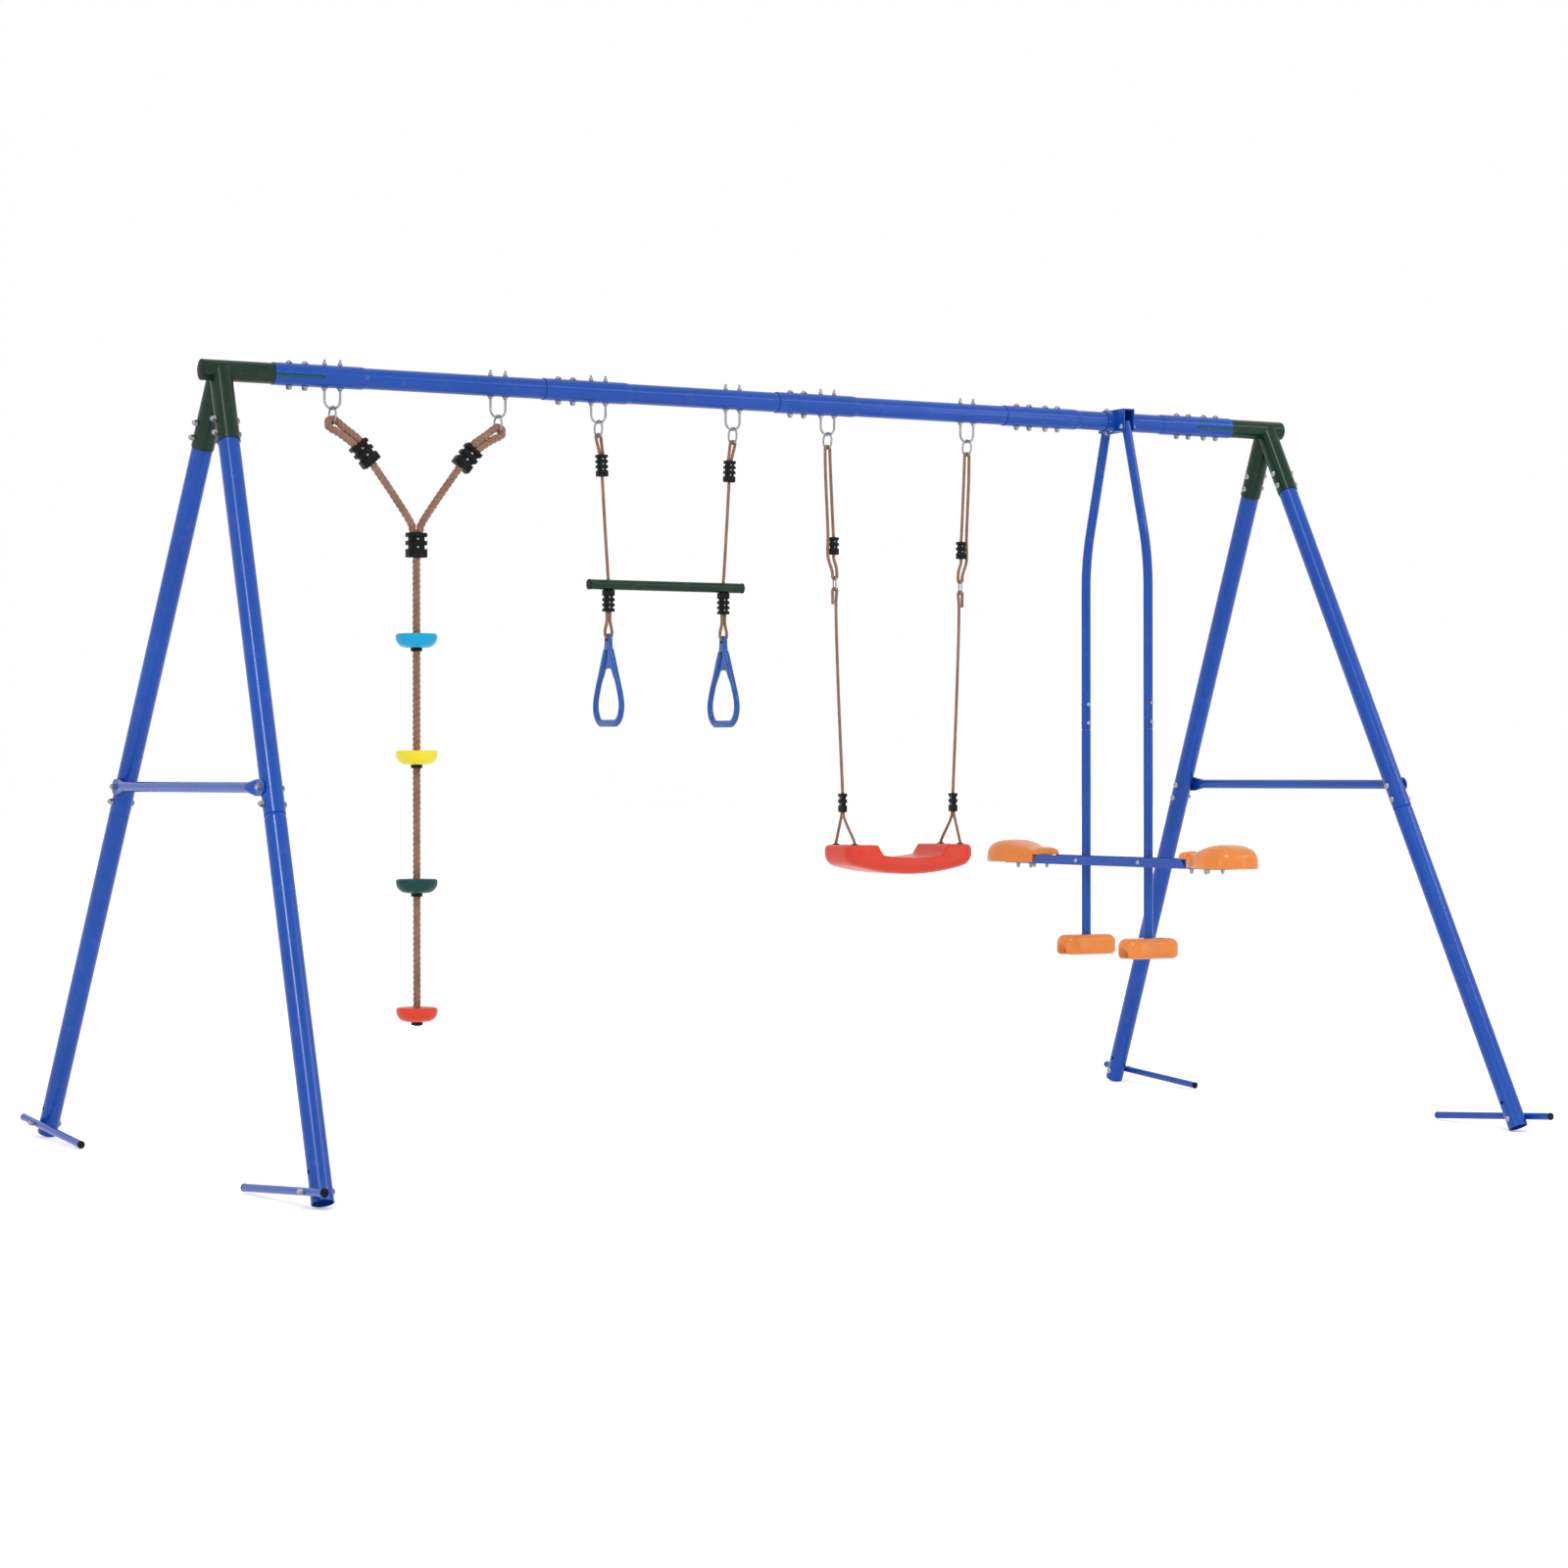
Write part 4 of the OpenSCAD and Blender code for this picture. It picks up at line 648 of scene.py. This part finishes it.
def flatPlate(name, outlines, thickness, edge, steps=4):
    # plate with holes from closed outlines of (a, b) points, its edges rounded, lying in the YZ plane
    curve = bpy.data.curves.new(name, "CURVE")
    curve.dimensions, curve.fill_mode = "2D", "BOTH"
    curve.extrude, curve.bevel_depth, curve.bevel_resolution = thickness / 2 - edge, edge, steps
    curve.offset = -edge
    for outline in outlines:
        spline = curve.splines.new("POLY")
        spline.points.add(len(outline) - 1)
        for point, (a, b) in zip(spline.points, outline):
            point.co = (a, b, 0, 1)
        spline.use_cyclic_u = True
    carrier = linked(name, curve)
    mesh = baked(carrier)
    bpy.data.objects.remove(carrier)
    mesh.transform(Matrix(((0, 0, 1, 0), (1, 0, 0, 0), (0, 1, 0, 0), (0, 0, 0, 1))))
    return cleaned(mesh, 1e-5)


# Rope clamps: core, flanges, thick block and screws, from the upper face at z = 0 down
def makeClampTree():
    tree, given, result = newTree("ropeClampTree", {"Width": 0.046, "Depth": 0.024, "Height": 0.06,
                                                    "Thick End": 0.017, "Flange": 0.0035, "Ribs": 2,
                                                    "Rib Pitch": 0.019, "Waist": 0.012,
                                                    "Screw Radius": 0.0028, "Finish": None,
                                                    "Screw Finish": None})
    width, depth, height, thick, flange, waist, pitch = (
        given.outputs[key] for key in ("Width", "Depth", "Height", "Thick End",
                                       "Flange", "Waist", "Rib Pitch"))
    join = lambda: addNode(tree, "GeometryNodeJoinGeometry")
    plus, less, times = (lambda a, b, operation=operation: mathNode(tree, operation, a, b)
                         for operation in ("ADD", "SUBTRACT", "MULTIPLY"))
    upright = lambda z: put(tree, "ShaderNodeCombineXYZ", {"Z": z})

    def block(sizes):
        return put(tree, "GeometryNodeMeshCube",
                   {"Size": put(tree, "ShaderNodeCombineXYZ", dict(zip("XYZ", sizes)))})

    def raised(mesh, z):
        return put(tree, "GeometryNodeTransform", {"Geometry": mesh, "Translation": upright(z)})

    def column(mesh, z):
        # one copy for each flange, the first at z
        line = put(tree, "GeometryNodeMeshLine", {"Count": given.outputs["Ribs"],
                                                  "Start Location": upright(z),
                                                  "Offset": upright(times(pitch, -1.0))}, mode="OFFSET")
        return put(tree, "GeometryNodeInstanceOnPoints", {"Points": line, "Instance": mesh})

    coreDepth = less(depth, times(waist, 0.6))
    core = raised(block((less(width, waist), coreDepth, less(height, 0.001))), times(height, -0.5))
    low = raised(block((width, depth, thick)), plus(times(height, -1.0), times(thick, 0.5)))
    flanges = column(block((width, depth, flange)), times(flange, -0.5))
    # a screw through the middle of each groove
    rod = put(tree, "GeometryNodeMeshCylinder", {"Vertices": 12, "Radius": given.outputs["Screw Radius"],
                                                 "Depth": plus(coreDepth, 0.0036)})
    lying = put(tree, "GeometryNodeTransform", {"Geometry": rod, "Rotation": (math.pi / 2, 0, 0)})
    screws = column(lying, times(plus(pitch, flange), -0.5))
    both = join()
    for pieces, key in (((core, low, flanges), "Finish"), ((screws,), "Screw Finish")):
        group = join()
        for piece in pieces:
            tree.links.new(piece, group.inputs["Geometry"])
        real = put(tree, "GeometryNodeRealizeInstances", {"Geometry": group.outputs["Geometry"]})
        painted = put(tree, "GeometryNodeSetMaterial", {"Geometry": real, "Material": given.outputs[key]})
        tree.links.new(painted, both.inputs["Geometry"])
    tree.links.new(both.outputs["Geometry"], result.inputs["Geometry"])
    return tree


clampTree = makeClampTree()
clampSizes = {
    "climber": {"Width": 0.048, "Depth": 0.025, "Height": 0.0597, "Thick End": 0.0205, "Flange": 0.0105,
                "Rib Pitch": 0.0196, "Waist": 0.011, "Screw Radius": 0.0034},
    "trapeze": {"Width": 0.028, "Depth": 0.017, "Height": 0.054, "Thick End": 0.015, "Flange": 0.0080,
                "Ribs": 3, "Rib Pitch": 0.0128, "Waist": 0.007, "Screw Radius": 0.0026},
    "swing": {"Width": 0.025, "Depth": 0.014, "Height": 0.045, "Thick End": 0.016, "Flange": 0.0080,
              "Rib Pitch": 0.0145, "Waist": 0.006, "Screw Radius": 0.0022},
}


def makeClamp(kind):
    values = dict(clampSizes[kind], **{"Finish": finish["blackPlastic"],
                                       "Screw Finish": finish["zincSteel"]})
    mesh = runTree(kind + "ClampBlock", pointHost(kind + "ClampPoint"), clampTree, values)
    return bevelled(mesh, 0.0016, 3)


def turnY(degrees):
    return Matrix.Rotation(math.radians(degrees), 4, "Y")


move = Matrix.Translation
halfTurn = Matrix.Rotation(math.pi, 4, "Z")
climberClamp, trapezeClamp, swingClamp = (makeClamp(kind) for kind in ("climber", "trapeze", "swing"))
(inX, inZ), (outX, outZ) = climber["clampIn"], climber["clampOut"]
leaned = turnY(math.degrees(math.atan2(inZ - outZ, outX - inX)) - 90)
climberPlaces = [move((hangX[0], 0, ringLow)) @ move((inX, 0, inZ)) @ leaned,
                 move((hangX[1], 0, ringLow)) @ halfTurn @ move((inX, 0, inZ)) @ leaned,
                 move((climberX, 0, climber["clampHigh"]))]
(topX, topZ), (lowX, lowZ) = trapeze["clampTop"], trapeze["clampLow"]
(adjX, adjZ), (splitX, splitZ) = swing["adjuster"], swing["splitter"]
tilt = turnY(-math.degrees(math.atan2(topX - lowX, topZ - lowZ)))
upsideDown = Matrix.Rotation(math.pi, 4, "X")
quarter = Matrix.Rotation(math.pi / 2, 4, "Z")
taller = Matrix.Diagonal((1, 1, swing["splitterHigh"] / swing["adjusterHigh"], 1))
trapezePlaces, swingPlaces = [], []
for side in (Matrix.Identity(4), halfTurn):
    trapezeSide, swingSide = move((trapezeX, 0, 0)) @ side, move((swingX, 0, 0)) @ side
    trapezePlaces.append(trapezeSide @ move((-topX, 0, topZ)) @ tilt)
    trapezePlaces.append(trapezeSide @ move((-trapeze["holes"] / 2, 0, dropLow)) @ upsideDown)
    swingPlaces.append(swingSide @ move((-adjX, 0, adjZ)))
    swingPlaces.append(swingSide @ move((-splitX, 0, splitZ)) @ quarter @ taller)
for kind, mesh, places, body in (("climber", climberClamp, climberPlaces, "climber_bridle"),
                                 ("trapeze", trapezeClamp, trapezePlaces, "trapeze"),
                                 ("swing", swingClamp, swingPlaces, "swing")):
    addPiece(kind + "Clamps", joined(kind + "Clamps", [(mesh, place) for place in places]), body, None,
             [kind + "_clamps"])
print("stage: clamps")

# Corner tube's end, seen through the slots in the two outer wide ends. It is a flush strip whose green is
# lighter than greenCoat: a painted highlight, and it fills the slots so they show no shade
seam = {"radius": 0.0256, "deep": 0.0012, "low": -0.0072, "high": -0.0018, "long": 0.119}
back, low, high = -seam["radius"], seam["low"], seam["high"]
outline = [(back, low), (back + seam["deep"], low), (back + seam["deep"], high), (back, high)]
seamStrip = flatPlate("seamStrip", [outline], seam["long"], 0.0001, 1)
seamX = mouthX[0] + seam["long"] / 2
seamPlaces = [move((x, 0, layout["beam"])) for x in (seamX, -seamX)]
addPiece("seamStrips", joined("seamStrips", [(seamStrip, place) for place in seamPlaces]), "frame",
         finish["seamGreenPaintedHighlight"])

# Climbing discs
discSizes = {"across": 0.100, "high": 0.034, "hole": 0.0093, "topEdge": 0.006,
             "bowl": 0.026, "dimple": 0.0025}


def discProfile(spec):
    half, high, hole = spec["across"] / 2, spec["high"], spec["hole"]
    bowl = bend(half - spec["bowl"], spec["bowl"], spec["bowl"], range(0, -86, -6))
    top = bend(half - spec["topEdge"], high - spec["topEdge"], spec["topEdge"], range(90, -1, -15))
    inside = [(hole, 0.001), (hole, high - 0.0012), (hole + 0.0012, high)]
    dish = [(0.020, high), (0.0215, high - spec["dimple"] * 0.3), (half - 0.012, high - 0.0004)]
    return inside + dish + top + bowl + [(hole + 0.006, 0.0), (hole + 0.001, 0.0)]


discPieces = {"disc_cyan": ("climbDiscCyan", "cyanPlastic", "cyan_plastic"),
              "disc_yellow": ("climbDiscyellow", "yellowPlastic", "yellow_plastic"),
              "disc_green": ("climbDiscgreen", "tealPlastic", "teal_plastic"),
              "disc_red": ("climbDiscred", "redPlastic", "red_plastic")}
for (nodeName, (pieceName, plastic, slotName)), middle in zip(discPieces.items(), climber["discs"]):
    mesh = turned(nodeName + "Turned", discProfile(discSizes), 96,
                  (climberX, 0, middle - discSizes["high"] / 2))
    addPiece(pieceName, mesh, "climber_line", finish[plastic], [nodeName])
print("stage: discs")

# Hand rings
handRing = {"holeZ": 1.253, "thick": 0.014, "tab": 0.010, "web": 0.004, "edge": 0.0055,
            "outer": [(19, -27), (30, -50), (44, -82), (58, -112), (69, -137), (75, -157), (76, -172),
                      (73, -188), (65, -203), (53, -214), (40, -220)],
            "inner": [(2, -34), (8, -46), (15, -62), (22, -78), (32, -95), (43, -110), (54, -134),
                      (60, -150), (63, -166), (60, -182), (52, -195), (40, -202)],
            "webShape": [(6, -30), (14, -46), (22, -64), (30, -84), (18, -80), (8, -76)],
            "tabShape": [(7, 11), (12.5, 2), (14, -14), (18, -32)], "hole": 0.008}


def outlineOf(points):
    # right half in millimetres, smoothed and mirrored
    half = smoothLine([(a / 1000, b / 1000, 0) for a, b in points], 0.004)
    pairs = [(p.x, p.y) for p in half]
    return pairs + [(-a, b) for a, b in reversed(pairs)]


def circleOf(radius, count=28):
    return [(radius * math.cos(math.tau * k / count), radius * math.sin(math.tau * k / count))
            for k in range(count)]


def makeHandRing(spec):
    ring = flatPlate("ringLoop", [outlineOf(spec["outer"]), outlineOf(spec["inner"])],
                     spec["thick"], spec["edge"], 5)
    web = flatPlate("ringWeb", [outlineOf(spec["webShape"])], spec["web"], 0.002, 2)
    tab = flatPlate("ringTab", [outlineOf(spec["tabShape"]), circleOf(spec["hole"])], spec["tab"], 0.002, 3)
    identity = Matrix.Identity(4)
    return joined("handRing", [(ring, identity), (web, identity), (tab, identity)])


ringMesh = makeHandRing(handRing)
for label, side in (("left", -1), ("right", 1)):
    mesh = ringMesh.copy()
    mesh.transform(move((trapezeX + side * trapeze["holes"] / 2, 0, handRing["holeZ"])))
    addPiece("handRing" + label.capitalize(), mesh, "hand_ring_" + label, finish["bluePlastic"],
             ["grip_" + label])
print("stage: hand rings")

# Swing seat
seat = {"long": 0.38, "deep": 0.165, "top": 0.734, "corner": 0.04, "rows": 120, "columns": 40,
        "edge": 0.013, "edgeShare": 0.3, "lowEdge": 0.024, "lowShare": 0.6,
        "dip": 33, "dipEnd": 86, "dipSlope": 32, "topCurve": 0.0009, "under": 76, "underCurve": 0.0008}


def ease(t):
    t = min(1.0, max(0.0, t))
    return t * t * (3 - 2 * t)


def makeSwingSeat(spec):
    half, corner, wide = spec["long"] / 2, spec["corner"], spec["deep"] / 2
    rows = []
    for i in range(spec["rows"] + 1):
        x = half * math.sin(math.pi / 2 * (2 * i / spec["rows"] - 1))
        over = max(0.0, abs(x) - (half - corner))
        reach = wide - corner + math.sqrt(max(0.0, corner * corner - over * over))
        mm = abs(x) * 1000
        dip = spec["dip"] * ease((mm - spec["dipEnd"]) / spec["dipSlope"]) - spec["dip"]
        top = min(0.0, (dip + spec["topCurve"] * mm * mm) / 1000)
        low = (-spec["under"] + spec["underCurve"] * mm * mm) / 1000
        rows.append((x, reach, spec["top"] + top, spec["top"] + low))
    columns = spec["columns"]
    points = []
    for side, edge, share, inward in ((2, spec["edge"], spec["edgeShare"], -1),
                                      (3, spec["lowEdge"], spec["lowShare"], 1)):
        for row in rows:
            for j in range(columns + 1):
                v = math.sin(math.pi / 2 * (2 * j / columns - 1))
                # edges rolled over by a quarter round, as wide as the thickness allows
                over, aside = abs(row[0]) - (half - corner), abs(v * row[1]) - (wide - corner)
                depth = corner - math.hypot(max(over, 0.0), max(aside, 0.0)) - min(max(over, aside), 0.0)
                roll = min(edge, share * (row[2] - row[3]))
                short = max(0.0, roll - max(0.0, depth))
                drop = roll - math.sqrt(max(0.0, roll * roll - short * short))
                points.append((swingX + row[0], v * row[1], row[side] + inward * drop))
    size = len(rows) * (columns + 1)
    at = lambda side, i, j: side * size + i * (columns + 1) + j
    faces = []
    for side in (0, 1):
        for i in range(len(rows) - 1):
            for j in range(columns):
                faces.append((at(side, i, j), at(side, i + 1, j), at(side, i + 1, j + 1),
                              at(side, i, j + 1)))
    for i in range(len(rows) - 1):
        for j in (0, columns):
            faces.append((at(0, i, j), at(0, i + 1, j), at(1, i + 1, j), at(1, i, j)))
    for j in range(columns):
        for i in (0, len(rows) - 1):
            faces.append((at(0, i, j), at(0, i, j + 1), at(1, i, j + 1), at(1, i, j)))
    mesh = bpy.data.meshes.new("swingSeat")
    mesh.from_pydata(points, [], faces)
    return bevelled(cleaned(mesh), 0.001, 1, 55.0)


addPiece("swingSeat", makeSwingSeat(seat), "swing", finish["seatPlastic"], ["swing_seat"])
grommet = turned("ropeGrommet", rounded([(0.0044, 0.0), (0.0044, 0.004), (0.009, 0.0025), (0.0095, 0.0)],
                                        0.0008, 3), 24)
grommet.materials.append(finish["blackPlastic"])
grommetPlaces = [move((swingX + a * holeX, b * swing["holeY"], seat["top"] - 0.0006))
                 for a in (-1, 1) for b in (-1, 1)]
addPiece("seatGrommets", joined("seatGrommets", [(grommet, place) for place in grommetPlaces]), "swing",
         None)
print("stage: swing seat")

# Glider seats
# Each station: how far out, half the width and the height, in millimetres
gliderSeat = {"bar": 0.6685, "sheet": 0.003, "middle": 0.405, "inward": 0.096, "cutEnd": 0.358,
              "sideHigh": 0.0223, "around": 40, "sidePower": 0.68, "topPower": 0.6,
              "stations": [(0, 18, 26), (6, 27, 35), (16, 32, 41), (30, 34, 43), (46, 34, 41), (60, 36, 38),
                           (80, 44, 40), (105, 58, 47), (135, 70, 55), (162, 75, 60), (185, 76, 61.5),
                           (207, 73, 60), (228, 65, 55), (243, 52, 48), (254, 36, 37), (260, 18, 24)]}


def makeGliderSeat(spec, side):
    base = spec["bar"] + spec["sheet"]
    inner = spec["middle"] - spec["inward"]
    rows = smoothLine([(a / 1000, b / 1000, c / 1000) for a, b, c in spec["stations"]], 0.006)
    edge = spec["cutEnd"] - inner
    rows = sorted(tuple(row) for row in rows)
    near = min(range(len(rows)), key=lambda k: abs(rows[k][0] - edge))
    before, after = ((edge + shift, rows[near][1], rows[near][2]) for shift in (-0.0002, 0.0002))
    rows = rows[:near] + [before, after] + rows[near + 1:]
    count = spec["around"]
    points = []
    for run, wide, high in rows:
        floor = spec["sideHigh"] if run < edge else 0.0
        for j in range(count + 1):
            angle = math.pi * j / count
            across = math.copysign(abs(math.cos(angle)) ** spec["sidePower"], math.cos(angle))
            rise = math.sin(angle) ** spec["topPower"] if 0 < j < count else 0.0
            points.append((gliderX + wide * across, side * (inner + run),
                           base + floor + (high - floor) * rise))
    ring = count + 1
    faces = bands(len(rows), ring)
    faces += [tuple(range(ring)), tuple((len(rows) - 1) * ring + j for j in range(ring))]
    mesh = bpy.data.meshes.new("gliderSeat")
    mesh.from_pydata(points, [], faces)
    return bevelled(cleaned(mesh), 0.002, 2, 60.0)


for label, side in (("front", -1), ("rear", 1)):
    addPiece("gliderSeat" + label.capitalize(), makeGliderSeat(gliderSeat, side),
             "seat_carrier", finish["orangePlastic"], ["glider_seat_" + label])
print("stage: glider seats")

# Footrests
footrest = {"z": 0.453, "y": 0.144, "long": 0.176, "wide": 0.08, "high": 0.054, "lowEdge": 0.012,
            "topEdge": 0.021, "mouthWide": 0.044, "mouthIn": 0.037, "mouthLow": -0.03, "mouthBend": -0.018,
            "around": 20}


def makeFootrest(spec):
    half, straight, high = spec["wide"] / 2, (spec["long"] - spec["wide"]) / 2, spec["high"]
    low, top = spec["lowEdge"], spec["topEdge"]
    profile = [(0.0, 0.0), (half - 0.016, 0.0)]
    profile += bend(half - low, low, low, range(-90, 1, 15))
    profile += bend(half - top, high - top, top, range(0, 91, 10))
    profile += [(0.012, high), (0.0, high)]
    ring = 2 * (spec["around"] + 1)
    points = []
    for radius, z in profile:
        for s in (1, -1):
            for k in range(spec["around"] + 1):
                angle = math.pi * (k / spec["around"] - 0.5)
                points.append((s * (straight + radius * math.cos(angle)), s * radius * math.sin(angle),
                               z - high / 2))
    mesh = bpy.data.meshes.new("footrest")
    mesh.from_pydata(points, [], bands(len(profile), ring))
    carrier = linked("footrestBody", cleaned(mesh, 1e-5))
    # arched mouths low at both ends
    wide = spec["mouthWide"] / 2
    arch = [(-wide, spec["mouthLow"]), (wide, spec["mouthLow"]), (wide, spec["mouthBend"])]
    arch += bend(0, spec["mouthBend"], wide, range(10, 171, 10)) + [(-wide, spec["mouthBend"])]
    for s in (-1, 1):
        cutter = bpy.data.meshes.new("mouthCutter")
        x0, x1 = s * (spec["long"] / 2 - spec["mouthIn"]), s * (spec["long"] / 2 + 0.02)
        count = len(arch)
        cutter.from_pydata([(x, a, b) for x in (x0, x1) for a, b in arch], [],
                           [tuple(range(count)), tuple(range(count, 2 * count))]
                           + [(i, (i + 1) % count, count + (i + 1) % count, count + i)
                              for i in range(count)])
        cleaned(cutter)
        tool = linked("mouthTool", cutter)
        cut = carrier.modifiers.new("mouth", "BOOLEAN")
        cut.operation, cut.object, cut.solver = "DIFFERENCE", tool, "EXACT"
        carrier.data = baked(carrier)
        carrier.modifiers.clear()
        bpy.data.objects.remove(tool)
    result = bevelled(carrier.data, 0.0015, 2, 50.0)
    bpy.data.objects.remove(carrier)
    return result


restMesh = makeFootrest(footrest)
for label, side in (("front", -1), ("rear", 1)):
    mesh = restMesh.copy()
    mesh.transform(move((gliderX, side * footrest["y"], footrest["z"])))
    addPiece("footrest" + label.capitalize(), mesh, "hanger_" + label, finish["orangePlastic"],
             ["footrest_" + label])
print("stage: footrests")

# Floor and light
studio = {"floor": 80.0, "floorColor": (0.80, 0.80, 0.80, 1.0), "floorGlow": 0.30,
          "sky": (1.0, 1.0, 1.0, 1.0), "skyPower": 1.0,
          "sun": ((-0.50, -0.55, 0.80), 7.0, 0.75),
          "lights": [("tallLeft", (-6.8, -4.2, 1.3), (0.45, 5.0), 60.0),
                     ("tallRight", (5.2, -7.0, 1.3), (0.40, 5.0), 45.0),
                     ("beamStrip", (3.8, -4.6, 4.6), (5.0, 0.35), 60.0)]}


def makeFloor(spec):
    material, tree, shader = makeMaterial("paleFloor")
    grain = noiseOf(tree, objectPoint(tree), 2.0, 2.0)
    feed(tree, shader.inputs["Base Color"], mixColor(tree, grain, tone(spec["floorColor"], 0.99),
                                                     tone(spec["floorColor"], 1.01)))
    shader.inputs["Roughness"].default_value = 0.9
    shader.inputs["Specular IOR Level"].default_value = 0.1
    shader.inputs["Emission Color"].default_value = (1.0, 1.0, 1.0, 1.0)
    shader.inputs["Emission Strength"].default_value = spec["floorGlow"]
    mesh = bpy.data.meshes.new("paleFloor")
    work = bmesh.new()
    bmesh.ops.create_grid(work, x_segments=2, y_segments=2, size=spec["floor"])
    work.to_mesh(mesh)
    work.free()
    mesh.transform(move((0, 0, -0.0005)))
    mesh.materials.append(material)
    linked("paleFloor", mesh)


def makeLights(spec):
    toward, angle, strength = spec["sun"]
    sun = bpy.data.lights.new("softSun", "SUN")
    sun.angle, sun.energy = math.radians(angle), strength
    lamp = linked("softSun", sun)
    lamp.rotation_euler = (-Vector(toward)).to_track_quat("-Z", "Y").to_euler()
    for name, place, size, power in spec["lights"]:
        data = bpy.data.lights.new(name, "AREA")
        data.shape, data.energy = "RECTANGLE", power
        data.size, data.size_y = size
        lamp = linked(name, data)
        lamp.location = place
        lamp.rotation_euler = (Vector((0, 0, 0.9)) - Vector(place)).to_track_quat("-Z", "Y").to_euler()
    world = bpy.data.worlds.new("softStudio")
    world.use_nodes = True
    background = world.node_tree.nodes["Background"]
    background.inputs["Color"].default_value = spec["sky"]
    background.inputs["Strength"].default_value = spec["skyPower"]
    scene.world = world


makeFloor(studio)
makeLights(studio)
scene.view_settings.view_transform = "Standard"
print("stage: floor and light")
